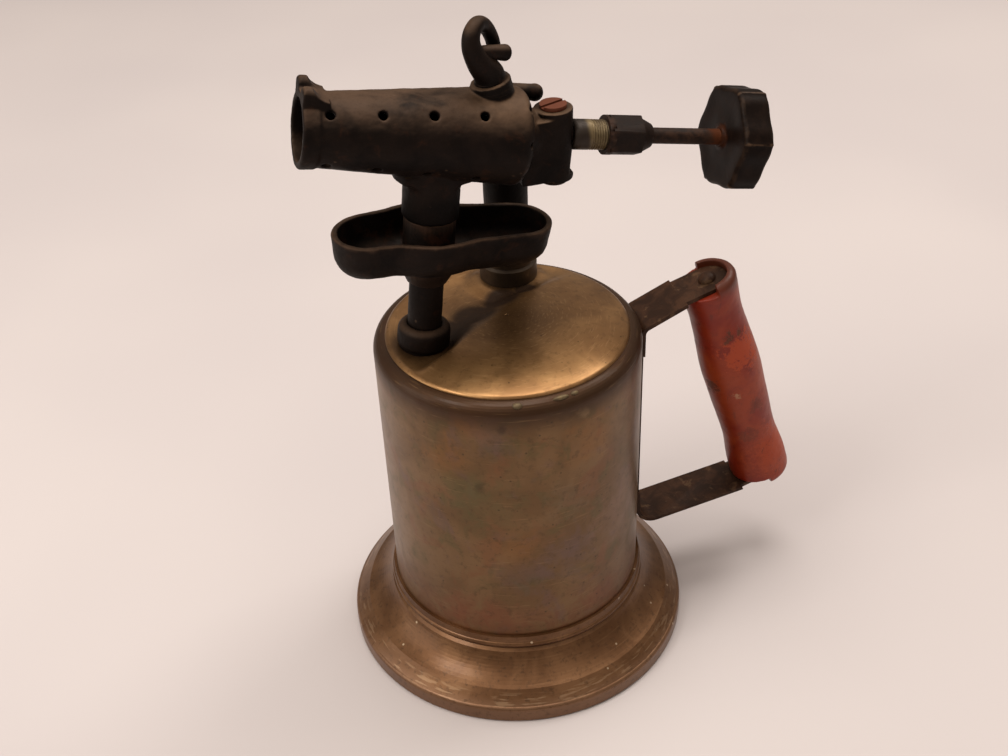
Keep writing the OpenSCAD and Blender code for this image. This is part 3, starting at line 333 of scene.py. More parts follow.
def tank_brass():
    """Aged brass with brown, green, red and violet tarnish in patches, and painted shade below the top's
    edge.
    """
    f = Finish("tank_brass")
    z = f.axis("Z")
    broad = f.noise(26, 3, 0.55, warp=0.6)
    cloud = f.noise(11, 4, 0.6, shift=3.1, warp=0.8)
    fine = f.noise(2.6, 5, 0.65, shift=1.7)
    rag = f.swing(f.noise(7, 5, 0.65, shift=5.3), 2.4)
    colour = f.mix(f.band(broad, 0.35, 0.65), shade(104, 76, 47), shade(122, 93, 62))
    colour = f.over(colour, f.band(cloud, 0.5, 0.68), 0.6, shade(92, 82, 50))
    red = f.band(f.noise(18, 3, 0.6, shift=7.7, warp=0.5), 0.54, 0.68)
    colour = f.over(colour, red, 0.6, shade(122, 78, 50))
    violet = f.band(f.noise(15, 3, 0.55, shift=12.3, warp=0.4), 0.56, 0.7)
    colour = f.over(colour, violet, 0.5, shade(104, 80, 76))
    foot = f.times(f.flip(f.band(z, *TANK_FOOT)), f.band(cloud, 0.36, 0.6))
    colour = f.over(colour, foot, 0.6, shade(118, 70, 48))
    for tint, share, turn, level, radius in TANK_MARKS:
        mark = f.spot(on_tank(turn, level), radius * TARNISH_SPREAD, 0.95, ragged=rag)
        colour = f.over(colour, mark, share * TARNISH_SHARE, tint)
    colour = f.mix(0.22, colour, shade(92, 70, 34))
    # Painted shade and dark reflection: a band under the top's edge is darkened
    shoulder_shade = f.band(z, *TANK_SHADE_BAND)
    colour = f.over(colour, shoulder_shade, 0.88, shade(54, 30, 11))
    colour = f.over(colour, f.band(fine, 0.5, 0.72), 0.4, shade(66, 48, 28))
    colour = f.over(colour, f.specks(5.5, 2.2, 0.05, 0.1), 0.6, shade(52, 42, 28))
    rub = f.band(f.lathed(0.7, 16, 2.0), 0.6, 0.75)
    colour = f.over(colour, rub, 0.25, shade(150, 118, 80))
    rough = f.more(f.more(0.3, cloud, 0.25), shoulder_shade, 0.15)
    height = f.more(broad, fine, 0.06)
    return f.done(colour, rough, metal=0.75, height=height, depth=0.4, strength=0.5, coat=0.17)


def top_brass():
    """Golden brown brass, browner in the middle, rubbed, and darkened near the fittings and over the well
    by dirt and painted shade.
    """
    f = Finish("top_brass")
    broad = f.noise(20, 3, 0.55, warp=0.5)
    fine = f.noise(2.2, 5, 0.65, shift=4.2)
    colour = f.mix(f.band(broad, 0.35, 0.68), shade(126, 92, 56), shade(154, 117, 75))
    colour = f.over(colour, f.spot(DOME_PLACE, DOME_R, 0.8), 0.8, shade(88, 62, 34))
    # Dirt and painted shade: dark round the fittings and over the well, with painted dark reflection along
    # the slope
    well_shade_and_dirt = f.most(f.spot(RISER_FOOT, WELL_SHADE_DIRT_R, 0.7), f.spot(PUMP_PLACE, PUMP_SHADE_DIRT_R, 0.6))
    for place, radius in WELL_SHADES:
        well_shade_and_dirt = f.most(well_shade_and_dirt, f.spot(place, radius, 0.45))
    colour = f.over(colour, well_shade_and_dirt, 0.95, shade(36, 20, 8))
    colour = f.over(colour, f.band(fine, 0.5, 0.75), 0.45, shade(72, 50, 28))
    colour = f.over(colour, f.specks(4.2, 6.2, 0.05, 0.11), 0.6, shade(48, 36, 24))
    rub = f.times(f.band(f.lathed(0.6, 12, 1.0), 0.56, 0.72), f.flip(well_shade_and_dirt))
    colour = f.over(colour, rub, 0.3, shade(176, 140, 96))
    rough = f.more(f.more(0.24, f.noise(7, 3, 0.6, shift=9), 0.2), well_shade_and_dirt, 0.3)
    height = f.more(broad, fine, 0.07)
    return f.done(colour, rough, metal=0.8, height=height, depth=0.35, strength=0.4, coat=0.08)


def base_brass():
    """Dark brown tarnished brass with a paler rim and bead, flakes and specks."""
    f = Finish("base_brass")
    z = f.axis("Z")
    broad = f.noise(18, 3, 0.6, warp=0.6)
    fine = f.noise(2.0, 5, 0.65, shift=2.8)
    colour = f.mix(f.band(broad, 0.35, 0.68), shade(96, 64, 36), shade(118, 84, 54))
    colour = f.over(colour, f.flip(f.band(z, *RIM_TOP)), 0.6, shade(124, 92, 68))
    colour = f.over(colour, f.strip(z, *BEAD), 0.4, shade(140, 106, 72))
    colour = f.over(colour, f.band(fine, 0.5, 0.72), 0.5, shade(56, 37, 20))
    flakes = f.times(f.strip(z, *FLAKE_LINE), f.band(f.lathed(1.3, 5, 3.0, 5), 0.54, 0.64))
    colour = f.over(colour, flakes, 0.4, shade(170, 140, 108))
    rub = f.band(f.lathed(0.8, 14, 7.0), 0.58, 0.74)
    colour = f.over(colour, rub, 0.14, shade(156, 120, 84))
    colour = f.over(colour, f.specks(9, 5.1, 0.04, 0.07), 0.65, shade(206, 186, 156))
    rough = f.more(0.3, broad, 0.22)
    height = f.more(broad, fine, 0.1)
    return f.done(colour, rough, metal=0.75, height=height, depth=0.3, strength=0.5, coat=0.2)


def plain_brass():
    """Dull olive brass of the small turned pieces, with painted shade in its creases, black beside the head
    and dark round the pump.
    """
    f = Finish("plain_brass")
    cloud = f.noise(5, 4, 0.6, warp=0.4)
    fine = f.noise(1.2, 4, 0.6, shift=2.2)
    colour = f.mix(f.band(cloud, 0.35, 0.7), shade(112, 96, 66), shade(80, 66, 46))
    # Painted shade: darker in creases and corners within 1.5 mm
    colour = f.over(colour, f.flip(f.hollows(1.5)), 0.8, shade(34, 26, 18))
    unthreaded = f.flip(f.band(f.axis("X"), *THREAD_START))
    plain = f.times(f.band(f.axis("Z"), *BARREL_LEVEL), unthreaded)
    colour = f.over(colour, plain, 0.95, shade(34, 24, 18))
    colour = f.over(colour, f.spot(PUMP_PLACE, PUMP_SHADE_R, 0.4), 0.85, shade(44, 29, 18))
    rough = f.more(0.38, cloud, 0.25)
    return f.done(colour, rough, metal=0.45, height=fine, depth=0.06, strength=0.5)


def casting(f):
    """Colour, roughness and height of a black casting: dusty and lighter where it looks up (dust and
    painted light from above), rubbed on its ridges, and darkened in its hollows by painted shade.
    """
    broad = f.noise(14, 3, 0.6, warp=0.5)
    grain = f.noise(3.2, 4, 0.6, shift=1.9)
    sand = f.noise(1.0, 4, 0.65, shift=6.2)
    colour = f.mix(f.band(broad, 0.35, 0.68), shade(17, 12, 10), shade(29, 21, 17))
    rust = f.band(f.noise(6, 4, 0.65, shift=8.4, warp=0.4), 0.56, 0.7)
    colour = f.over(colour, rust, 0.35, shade(56, 33, 21))
    # Dust and painted light from above: faces that look up are made lighter
    dust_and_top_light = f.times(f.band(f.upward(), 0.3, 0.95), f.band(broad, 0.2, 0.6))
    colour = f.over(colour, dust_and_top_light, 0.58, shade(98, 77, 61))
    rubbed = f.times(f.band(f.edges(), 0.53, 0.6), f.band(grain, 0.35, 0.6))
    colour = f.over(colour, rubbed, 0.35, shade(104, 84, 68))
    colour = f.over(colour, f.band(sand, 0.52, 0.75), 0.3, shade(26, 19, 15))
    # Painted shade: darker in corners and under parts within 40 mm
    colour = f.mix(f.flip(f.hollows(40)), colour, shade(8, 5, 4))
    rough = f.more(0.4, grain, 0.25)
    height = f.more(grain, sand, 0.4)
    return colour, rough, height


def black_iron():
    """Blackened casting of the burner, darkened at the neck by painted shade, with tan near the hook on
    faces that look up, partly painted light from above.
    """
    f = Finish("black_iron")
    colour, rough, height = casting(f)
    # Painted shade: the neck under the burner is darkened
    colour = f.over(colour, f.strip(f.axis("Z"), *NECK_SHADE), 0.7, shade(6, 4, 3))
    # Tan and painted light from above: lighter on faces near the hook that look up
    tan_and_top_light = f.times(f.band(f.upward(), 0.1, 0.8), f.noise(4, 4, 0.6, shift=3.3))
    for place, radius in TAN_MARKS:
        colour = f.over(colour, f.times(f.spot(place, radius, 0.9), tan_and_top_light), 0.7, shade(124, 98, 76))
    return f.done(colour, rough, height=height, depth=0.25, strength=0.6, gloss=0.07)


def pan_iron():
    """Cast pan: black outside, rusty inside and darker there from soot and painted shade, with a rubbed rim
    and painted shade below its floor.
    """
    f = Finish("pan_iron")
    colour, rough, height = casting(f)
    inside = f.flip(f.hollows(14))
    rust = f.band(f.noise(5, 4, 0.65, shift=3.4), 0.46, 0.62)
    colour = f.over(colour, f.times(inside, rust), 0.5, shade(78, 42, 24))
    # Soot and painted shade: darker in the pan's hollows
    colour = f.over(colour, inside, 0.5, shade(22, 15, 10))
    colour = f.over(colour, f.band(f.edges(), 0.515, 0.56), 0.55, shade(104, 80, 64))
    # Painted shade: darker below the pan's floor
    under_pan_shade = f.flip(f.band(f.axis("Z"), *PAN_FLOOR))
    colour = f.over(colour, under_pan_shade, 0.8, shade(16, 11, 9))
    return f.done(colour, rough, height=height, depth=0.25, strength=0.6, gloss=0.07)


def strap_steel():
    """Brown patina on bent steel, with tan patches."""
    f = Finish("strap_steel")
    broad = f.noise(8, 4, 0.6, warp=0.6)
    fine = f.noise(1.6, 4, 0.6, shift=3.3)
    colour = f.mix(f.band(broad, 0.38, 0.64), shade(46, 29, 19), shade(68, 45, 31))
    tan_and_top_light = f.band(f.noise(6, 4, 0.65, shift=9.1, warp=0.5), 0.57, 0.66)
    colour = f.over(colour, tan_and_top_light, 0.3, shade(124, 96, 70))
    colour = f.over(colour, f.band(fine, 0.52, 0.7), 0.5, shade(48, 34, 26))
    rough = f.more(0.36, broad, 0.25)
    height = f.more(f.times(broad, 0.5), fine, 0.4)
    return f.done(colour, rough, metal=0.08, height=height, depth=0.12, strength=0.5, gloss=0.12)


def bright_steel():
    """Bare steel with light wear."""
    f = Finish("bright_steel")
    cloud = f.noise(3, 4, 0.6)
    colour = f.mix(f.band(cloud, 0.4, 0.7), shade(140, 132, 124), shade(86, 74, 64))
    rough = f.more(0.25, cloud, 0.25)
    return f.done(colour, rough, metal=0.9, height=cloud, depth=0.04, strength=0.4)


def rusty_steel():
    """Steel with brown rust: orange near the knob, redder on the top plug and darker on the nut."""
    f = Finish("rusty_steel")
    cloud = f.noise(3.2, 4, 0.65, warp=0.5)
    fine = f.noise(0.9, 4, 0.65, shift=4.4)
    colour = f.mix(f.band(cloud, 0.35, 0.65), shade(30, 21, 17), shade(54, 37, 28))
    colour = f.over(colour, f.band(fine, 0.5, 0.7), 0.5, shade(26, 18, 15))
    rust = f.spot(KNOB_RUST_PLACE, 8, 0.6, ragged=f.swing(cloud, 1.0))
    colour = f.over(colour, rust, 0.45, RUST_ORANGE)
    colour = f.over(colour, f.spot(PLUG_PLACE, 9, 0.3), 0.7, shade(112, 62, 44))
    colour = f.over(colour, f.spot(NUT_PLACE, 11, 0.25), 0.75, shade(24, 17, 14))
    rough = f.more(0.46, cloud, 0.25)
    height = f.more(cloud, fine, 0.7)
    return f.done(colour, rough, metal=0.06, height=height, depth=0.12, strength=0.6, gloss=0.12)


def grip_paint():
    """Chipped red-orange paint on turned wood, worn dark at its top."""
    f = Finish("grip_paint")
    broad = f.noise(18, 3, 0.6, warp=0.5)
    fine = f.noise(2.4, 5, 0.65, shift=2.5)
    rag = f.swing(f.noise(2.4, 6, 0.75, shift=4.8), 4.5)
    colour = f.mix(f.band(broad, 0.36, 0.66), shade(124, 33, 12), shade(144, 54, 20))
    colour = f.over(colour, f.band(fine, 0.5, 0.75), 0.4, shade(86, 32, 21))
    streaks = f.band(f.noise(2.2, 5, 0.65, stretch=(1, 1, 0.12), shift=8.8), 0.6, 0.68)
    colour = f.over(colour, streaks, 0.35, shade(70, 34, 24))
    worn = f.band(f.noise(3.4, 6, 0.75, stretch=(1, 1, 0.5), shift=5.9), 0.62, 0.68)
    scuffs = worn
    for tint, share, place, radius in GRIP_MARKS:
        mark = f.times(f.spot(place, radius, 0.35, ragged=rag), share)
        colour = f.mix(mark, colour, tint)
        scuffs = f.most(scuffs, mark)
    colour = f.over(colour, worn, 0.55, shade(70, 38, 27))
    colour = f.over(colour, f.band(f.axis("Z"), *GRIP_TOP), 0.8, WOOD)
    rough = f.more(f.more(0.3, fine, 0.2), scuffs, 0.2)
    height = f.more(f.more(f.times(broad, 0.6), fine, 0.1), scuffs, -0.25)
    return f.done(colour, rough, height=height, depth=0.35, strength=0.5, gloss=0.3)


def black_knob():
    """Black moulded knob with rubbed edges and rust round the spindle."""
    f = Finish("black_knob")
    cloud = f.noise(6, 4, 0.6)
    fine = f.noise(1.2, 4, 0.65, shift=3.7)
    colour = f.mix(f.band(cloud, 0.4, 0.7), shade(19, 12, 9), shade(30, 20, 15))
    colour = f.over(colour, f.band(fine, 0.55, 0.75), 0.2, shade(44, 33, 27))
    patches = f.band(f.noise(3, 4, 0.6, shift=7.3), 0.36, 0.56)
    worn = f.times(f.band(f.edges(), 0.51, 0.54), patches)
    worn = f.times(worn, f.flip(f.spot(KNOB_RUST_PLACE, 12, 0.2)))
    colour = f.over(colour, worn, 0.4, shade(112, 88, 70))
    rust = f.spot(KNOB_RUST_PLACE, 6.0, 0.5, ragged=f.swing(cloud, 1.5))
    colour = f.over(colour, rust, 0.18, RUST_ORANGE)
    rough = f.more(0.28, cloud, 0.25)
    return f.done(colour, rough, height=fine, depth=0.06, strength=0.4, gloss=0.06)


def old_leather():
    """Oiled leather of the washers and the pump's cup."""
    f = Finish("old_leather")
    cloud = f.noise(3, 4, 0.6)
    colour = f.mix(f.band(cloud, 0.35, 0.7), shade(92, 60, 38), shade(54, 35, 24))
    rough = f.more(0.45, cloud, 0.25)
    return f.done(colour, rough, height=f.cells(0.9), depth=0.1, strength=0.6)


def packing_cord():
    """Greasy dark packing."""
    f = Finish("packing_cord")
    cloud = f.noise(1.2, 3, 0.6, stretch=(1, 1, 3))
    colour = f.mix(f.band(cloud, 0.35, 0.7), shade(44, 40, 36), shade(20, 18, 17))
    rough = f.more(0.5, cloud, 0.3)
    return f.done(colour, rough, height=cloud, depth=0.1, strength=0.6)


makers = (
    tank_brass,
    top_brass,
    base_brass,
    plain_brass,
    black_iron,
    pan_iron,
    strap_steel,
    bright_steel,
    rusty_steel,
    grip_paint,
    black_knob,
    old_leather,
    packing_cord,
)
finishes = {make.__name__: make() for make in makers}
for part in frame["record"]["subparts"]:
    skin = nodes[part["node"]].data.materials
    skin.clear()
    skin.append(finishes[part["material_slot"]])

# Geometry helpers, all in millimetres


class Line:
    """A leaning axis, with the directions along it, up from it and to its side."""

    def __init__(self, start, along, up):
        self.start = Vector(start)
        self.along = Vector(along)
        self.up = Vector(up)
        self.side = self.along.cross(self.up)

    def at(self, along, up=0.0, side=0.0):
        return self.start + self.along * along + self.up * up + self.side * side

    def ring(self, along, radius, count):
        """Points round the axis; the radius may be a function of the angle from up."""
        turns = [math.tau * i / count for i in range(count)]
        reach = [radius(t) if callable(radius) else radius for t in turns]
        return [self.at(along, r * math.cos(t), r * math.sin(t)) for r, t in zip(reach, turns)]


def piece(name, rings, body, slot, stands_for=(), joined=True):
    """A smooth skin over rings of points on a body, if one is named; its ends meet or are shut by fans."""
    skin = bmesh.new()
    loops = [[skin.verts.new(place * MM) for place in ring] for ring in rings]
    for low, high in zip(loops, loops[1:] + loops[:1] if joined else loops[1:]):
        for corners in zip(low, low[1:] + low[:1], high[1:] + high[:1], high):
            skin.faces.new(corners)
    for loop in () if joined else (loops[0], loops[-1]):
        middle = skin.verts.new(sum((v.co for v in loop), Vector()) / len(loop))
        for pair in zip(loop, loop[1:] + loop[:1]):
            skin.faces.new((*pair, middle))
    bmesh.ops.recalc_face_normals(skin, faces=skin.faces)
    mesh = bpy.data.meshes.new(name)
    skin.to_mesh(mesh)
    skin.free()
    mesh.shade_smooth()
    mesh.materials.append(finishes[slot])
    obj = bpy.data.objects.new(name, mesh)
    bpy.context.collection.objects.link(obj)
    if body:
        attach(obj, body)
    if stands_for:
        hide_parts(*stands_for)
    return obj


def spline(points, share):
    """A smooth run through points given as vectors of any length."""
    at = share * (len(points) - 1)
    i = min(int(at), len(points) - 2)
    t = at - i
    before = points[max(i - 1, 0)]
    start = points[i]
    end = points[i + 1]
    after = points[min(i + 2, len(points) - 1)]
    pull = (end - before) / 2
    push = (after - start) / 2
    return (
        start * (2 * t**3 - 3 * t**2 + 1)
        + pull * (t**3 - 2 * t**2 + t)
        + end * (3 * t**2 - 2 * t**3)
        + push * (t**3 - t**2)
    )


def quarter(steps):
    """Angles over a quarter turn, for rounded edges."""
    return [math.pi / 2 * i / steps for i in range(steps + 1)]


# Share of a bar's rounded end at which its first ring lies, so that it isn't a point
BAR_TIP = 0.02


def bar(path, steps, count, end_round):
    """Rings along a bent round bar through points of x, y, z and radius, with rounded ends."""
    runs = [spline([Vector(p) for p in path], i / steps) for i in range(steps + 1)]
    rings = []
    across = Vector((0, 1, 0))
    for i, run in enumerate(runs):
        ahead = (runs[min(i + 1, steps)] - runs[max(i - 1, 0)]).to_3d().normalized()
        across = (across - ahead * across.dot(ahead)).normalized()
        up = ahead.cross(across)
        from_end = min(i, steps - i) / (end_round * steps)
        swell = math.sqrt(1 - (1 - min(1.0, from_end + BAR_TIP)) ** 2)
        radius = run.w * swell
        turns = [math.tau * k / count for k in range(count)]
        rings.append([run.to_3d() + (across * math.cos(t) + up * math.sin(t)) * radius for t in turns])
    return rings


RISER_LEAN = math.radians(6.8)
VALVE_TILT = math.radians(10.5)
# The place on the valve's axis from which lengths along it are measured
VALVE_START = (-67.748, 0, 232.49)
tank = Line((0, 0, 0), (0, 0, 1), (1, 0, 0))
riser = Line(
    RISER_FOOT,
    (math.sin(RISER_LEAN), 0, math.cos(RISER_LEAN)),
    (math.cos(RISER_LEAN), 0, -math.sin(RISER_LEAN)),
)
valve = Line(
    VALVE_START,
    (math.cos(VALVE_TILT), 0, -math.sin(VALVE_TILT)),
    (math.sin(VALVE_TILT), 0, math.cos(VALVE_TILT)),
)

# The pressed top: a well, an S-shaped slope and a dome, rounded over at the edge
edge_r = 46.3
edge_round = 2.2
edge_z = 142.2
edge_start = math.radians(17)
edge_end = math.radians(62)
sheet = 1.2
lip_mid_r = edge_r - edge_round
lip_mid_z = edge_z - edge_round * math.cos(edge_start)
plate_r = lip_mid_r + edge_round * math.sin(edge_start)
well_z = 141.2
dome_h = 4.2
dome_power = 3.4
slope_turn = math.radians(35)
crest_off = -2.6
crest_bend = 16.0
front_from = -27.0
front_swing = 1.5
back_from = 21.0
back_swing = 4.0
slope_w = 14.0
slope_front_w = 5.0
rim_blend_w = 9.0
pump_seat_z = 143.85
pump_seat_r = 11.3
seat_margin = 1.0
pump_blend_w = 7.0


def seat(x, y, centre, radius, blend):
    """1 under a fitting, 0 a little outside it."""
    away = math.hypot(x - centre[0], y - centre[1])
    return 1 - smooth((away - radius - seat_margin) / blend)


def top_height(x, y):
    """Height of the pressed sheet's upper face."""
    along = x * math.cos(slope_turn) + y * math.sin(slope_turn)
    across = x * math.sin(slope_turn) - y * math.cos(slope_turn)
    crest = crest_off - front_swing * smooth((front_from - along) / crest_bend)
    width = mix(slope_front_w, slope_w, smooth((along - front_from) / crest_bend))
    crest += back_swing * smooth((along - back_from) / crest_bend)
    out = math.hypot(x, y)
    edge = smooth((out - plate_r + rim_blend_w) / rim_blend_w)
    dome = edge_z + dome_h * (1 - (out / plate_r) ** dome_power)
    height = mix(mix(well_z, edge_z, edge), dome, smooth((across - crest) / width + 1))
    return mix(height, pump_seat_z, seat(x, y, PUMP_PLACE, pump_seat_r, pump_blend_w) * (1 - edge))


def pressed(radius, drop, count):
    """A ring of points that far below the sheet's upper face."""
    ring = tank.ring(0, radius, count)
    return [Vector((p.x, p.y, top_height(p.x, p.y) - drop)) for p in ring]


plate_points = 192
plate_rings = 60
lip_steps = 7
# Share of the rings' spacing at which the innermost one lies
first_ring = 0.2
plate_radii = [plate_r * (i + first_ring) / plate_rings for i in range(plate_rings)] + [plate_r]
lip = [mix(edge_start, edge_end, i / lip_steps) for i in range(1, lip_steps + 1)]
top_rings = [pressed(r, 0, plate_points) for r in plate_radii]
top_rings += [
    tank.ring(lip_mid_z + edge_round * math.cos(a), lip_mid_r + edge_round * math.sin(a), plate_points)
    for a in lip
]
top_rings.append(tank.ring(edge_z - sheet, lip_mid_r + edge_round * math.sin(edge_end), plate_points))
top_rings += [pressed(r, sheet, plate_points) for r in reversed(plate_radii)]
pressed_top = piece("pressed_top", top_rings, "torch", "top_brass", ["tank_top"])

# Holes in the top for the pump and for the boss's spigot
pump_hole_r = 9.25
spigot_hole_r = 7.3
hole_points = 64
hole_depth = 20
for centre, radius in ((PUMP_PLACE, pump_hole_r), (RISER_FOOT, spigot_hole_r)):
    bpy.ops.mesh.primitive_cylinder_add(
        vertices=hole_points,
        radius=radius * MM,
        depth=hole_depth * MM,
        location=Vector(centre) * MM,
    )
    cutter = bpy.context.object
    hole = pressed_top.modifiers.new("Hole", "BOOLEAN")
    hole.object = cutter
    with bpy.context.temp_override(object=pressed_top, active_object=pressed_top):
        bpy.ops.object.modifier_apply(modifier=hole.name)
    bpy.data.objects.remove(cutter)

# The priming pan: a round middle with two boat-shaped wings, a hub and the cone below
pan_z = 34.7
pan_rim = 49.9
pan_hub_top = 53.7
pan_wall = 2.2
pan_floor = 2.6
pan_round = 8.0
pan_draft = 0.8
pan_mid_r = 17.0
wing_root_r = 15.5
wing_ends = ((-20.7, 13.8), (31.7, 13.0))
wing_soft = 5.0
rim_round = 0.9
hub_r = 9.2
pipe_r = 6.3
cone_h = 6.5
cone_low_r = 7.4
cone_high_r = 10.6
cone_edge_h = 0.3
cone_edge_w = 0.5
wing_sag = 2.0
wing_sag_from = 8.0
wing_sag_run = 26.0
# Heights from the pan's floor and from the hub's top, with widths beyond the hub
hub_foot = ((0.0, 1.2), (0.4, 0.3), (1.4, 0.0))
hub_edge = ((-0.8, 0.0), (-0.2, -0.3), (0.0, -0.9))
corner_steps = 9
inner_steps = 7
rim_steps = 4
wall_steps = 4
pan_points = 256
# The outline is sought out to this reach, by halving
pan_far = 60.0
pan_halvings = 30


def pan_field(u, v):
    """Distance to the pan's outline seen from above, negative inside it."""
    field = math.hypot(u, v) - pan_mid_r
    for end, end_r in wing_ends:
        share = min(1.0, max(0.0, u / end))
        wing = math.hypot(u - end * share, v) - mix(wing_root_r, end_r, share)
        near = max(0.0, wing_soft - abs(field - wing)) / wing_soft
        field = min(field, wing) - near * near * wing_soft / 4
    return field


def pan_reach(turn, inset):
    """How far the outline, moved in by the inset, lies from the riser's axis."""
    low = 0.0
    high = pan_far
    for _ in range(pan_halvings):
        middle = (low + high) / 2
        if pan_field(middle * math.cos(turn), middle * math.sin(turn)) < -inset:
            low = middle
        else:
            high = middle
    return low


def pan_ring(height, inset):
    """A loop along the outline; the front wing sags a little."""
    ring = []
    for i in range(pan_points):
        turn = math.tau * i / pan_points
        reach = pan_reach(turn, inset)
        u = reach * math.cos(turn)
        sag = wing_sag * smooth((-u - wing_sag_from) / wing_sag_run)
        ring.append(riser.at(height - sag, u, reach * math.sin(turn)))
    return ring


floor_z = pan_z + pan_floor
inner_round = pan_round - pan_wall
inner_draft = pan_wall + pan_draft
rim_in = pan_wall - rim_round
rim_low = pan_rim - rim_round


def hub_rings(base, steps):
    """Circles at heights above a base, each that much wider than the hub."""
    return [riser.ring(base + up, hub_r + out, pan_points) for up, out in steps]


pan_rings = [riser.ring(pan_z - cone_h, r, pan_points) for r in (pipe_r, cone_low_r)]
pan_rings.append(riser.ring(pan_z - cone_edge_h, cone_high_r, pan_points))
pan_rings.append(riser.ring(pan_z, cone_high_r + cone_edge_w, pan_points))
for a in quarter(corner_steps):
    inset = pan_draft + pan_round * (1 - math.sin(a))
    pan_rings.append(pan_ring(pan_z + pan_round * (1 - math.cos(a)), inset))
for i in range(1, wall_steps + 1):
    share = i / wall_steps
    pan_rings.append(pan_ring(mix(pan_z + pan_round, rim_low, share), mix(pan_draft, 0, share)))
for a in quarter(rim_steps)[1:]:
    pan_rings.append(pan_ring(rim_low + rim_round * math.sin(a), rim_round * (1 - math.cos(a))))
for a in quarter(rim_steps):
    pan_rings.append(pan_ring(rim_low + rim_round * math.cos(a), rim_in + rim_round * math.sin(a)))
for i in range(1, wall_steps):
    share = i / wall_steps
    inset = mix(pan_wall, inner_draft, share)
    pan_rings.append(pan_ring(mix(rim_low, floor_z + inner_round, share), inset))
for a in quarter(inner_steps):
    inset = inner_draft + inner_round * (1 - math.cos(a))
    pan_rings.append(pan_ring(floor_z + inner_round * (1 - math.sin(a)), inset))
pan_rings += hub_rings(floor_z, hub_foot)
pan_rings += hub_rings(pan_hub_top, hub_edge)
pan_rings.append(riser.ring(pan_hub_top, pipe_r, pan_points))
cast_pan = piece("cast_pan", pan_rings, "torch", "pan_iron", ["priming_pan"])

# The valve's knob: six worn corners with hollowed sides between them, a hub and a bore
knob_s = 152.8
knob_t = 11.4
knob_r = 21.0
knob_hollow = 0.7
knob_round = 1.7
knob_sides = 6
knob_turn = math.radians(15)
knob_corner = 1.3
knob_corner_power = 4
knob_hub_r = 3.7
knob_hub_len = 1.0
knob_hub_round = 0.3
knob_bore_r = 2.25
knob_dish = 0.3
knob_round_steps = 7
knob_wall_steps = 4
knob_face_steps = 8
knob_points = 240


def knob_reach(turn):
    """The outline's radius: straight sides between rounded corners, hollowed a little."""
    side = math.tau / knob_sides
    off = (turn - knob_turn) % side - side / 2
    straight = knob_r * math.cos(side / 2) / math.cos(off)
    hollow = knob_hollow * (1 + math.cos(knob_sides * off)) / 2
    return straight - hollow - knob_corner * smooth(abs(off) / side * 2) ** knob_corner_power


def knob_ring(along, inset):
    """A loop along the outline, moved in by the inset."""
    return valve.ring(along, lambda t: knob_reach(t) - inset, knob_points)


def knob_face(share):
    """A loop at a share of the way from the rounded edge to the hub's circle."""
    outer = knob_ring(0, knob_round)
    inner = valve.ring(0, knob_hub_r, knob_points)
    return [a.lerp(b, share) for a, b in zip(outer, inner)]


def knob_side(start, sense, shares):
    """One face, dished a little between its rounded edge and the hub."""
    loops = []
    for share in shares:
        depth = knob_dish * math.sin(math.pi * share) ** 2
        loops.append([p + valve.along * (start + sense * depth) for p in knob_face(share)])
    return loops


knob_shares = [i / knob_face_steps for i in range(knob_face_steps + 1)]
knob_end = knob_s + knob_t
hub_end = knob_s - knob_hub_len
knob_rings = [valve.ring(hub_end, r, knob_points) for r in (knob_bore_r, knob_hub_r - knob_hub_round)]
knob_rings.append(valve.ring(hub_end + knob_hub_round, knob_hub_r, knob_points))
knob_rings += knob_side(knob_s, 1, reversed(knob_shares))
for a in quarter(knob_round_steps)[1:]:
    inset = knob_round * (1 - math.sin(a))
    knob_rings.append(knob_ring(knob_s + knob_round * (1 - math.cos(a)), inset))
for i in range(1, knob_wall_steps):
    share = i / knob_wall_steps
    knob_rings.append(knob_ring(mix(knob_s + knob_round, knob_end - knob_round, share), 0))
for a in quarter(knob_round_steps)[:-1]:
    inset = knob_round * (1 - math.cos(a))
    knob_rings.append(knob_ring(knob_end - knob_round * (1 - math.sin(a)), inset))
knob_rings += knob_side(knob_end, -1, knob_shares)
knob_rings.append(valve.ring(knob_end, knob_bore_r, knob_points))
piece("lobed_knob", knob_rings, "valve_screw", "black_knob", ["valve_knob"])

# The valve's barrel with a fine worn thread towards the nut
barrel_from = 94.75
barrel_to = 112.3
barrel_r = 5.3
barrel_bore_r = 2.9
thread_from = 101.0
thread_pitch = 0.95
thread_depth = 0.4
thread_step = 0.12
thread_points = 96


def thread(along):
    """The radius at a place along the barrel, as a function of the angle."""
    fade = thread_depth * smooth(along - thread_from)
    return lambda t: barrel_r - fade * (0.5 - 0.5 * math.cos(math.tau * along / thread_pitch - t))


thread_rows = round((barrel_to - thread_from) / thread_step)
plain_places = (barrel_from, mix(barrel_from, thread_from, 0.5))
barrel_rings = [valve.ring(s, barrel_r, thread_points) for s in plain_places]
barrel_rings += [
    valve.ring(s, thread(s), thread_points)
    for s in (mix(thread_from, barrel_to, i / thread_rows) for i in range(thread_rows + 1))
]
barrel_rings += [valve.ring(s, barrel_bore_r, thread_points) for s in (barrel_to, barrel_from)]
piece("threaded_barrel", barrel_rings, "torch", "plain_brass", ["valve_barrel"])

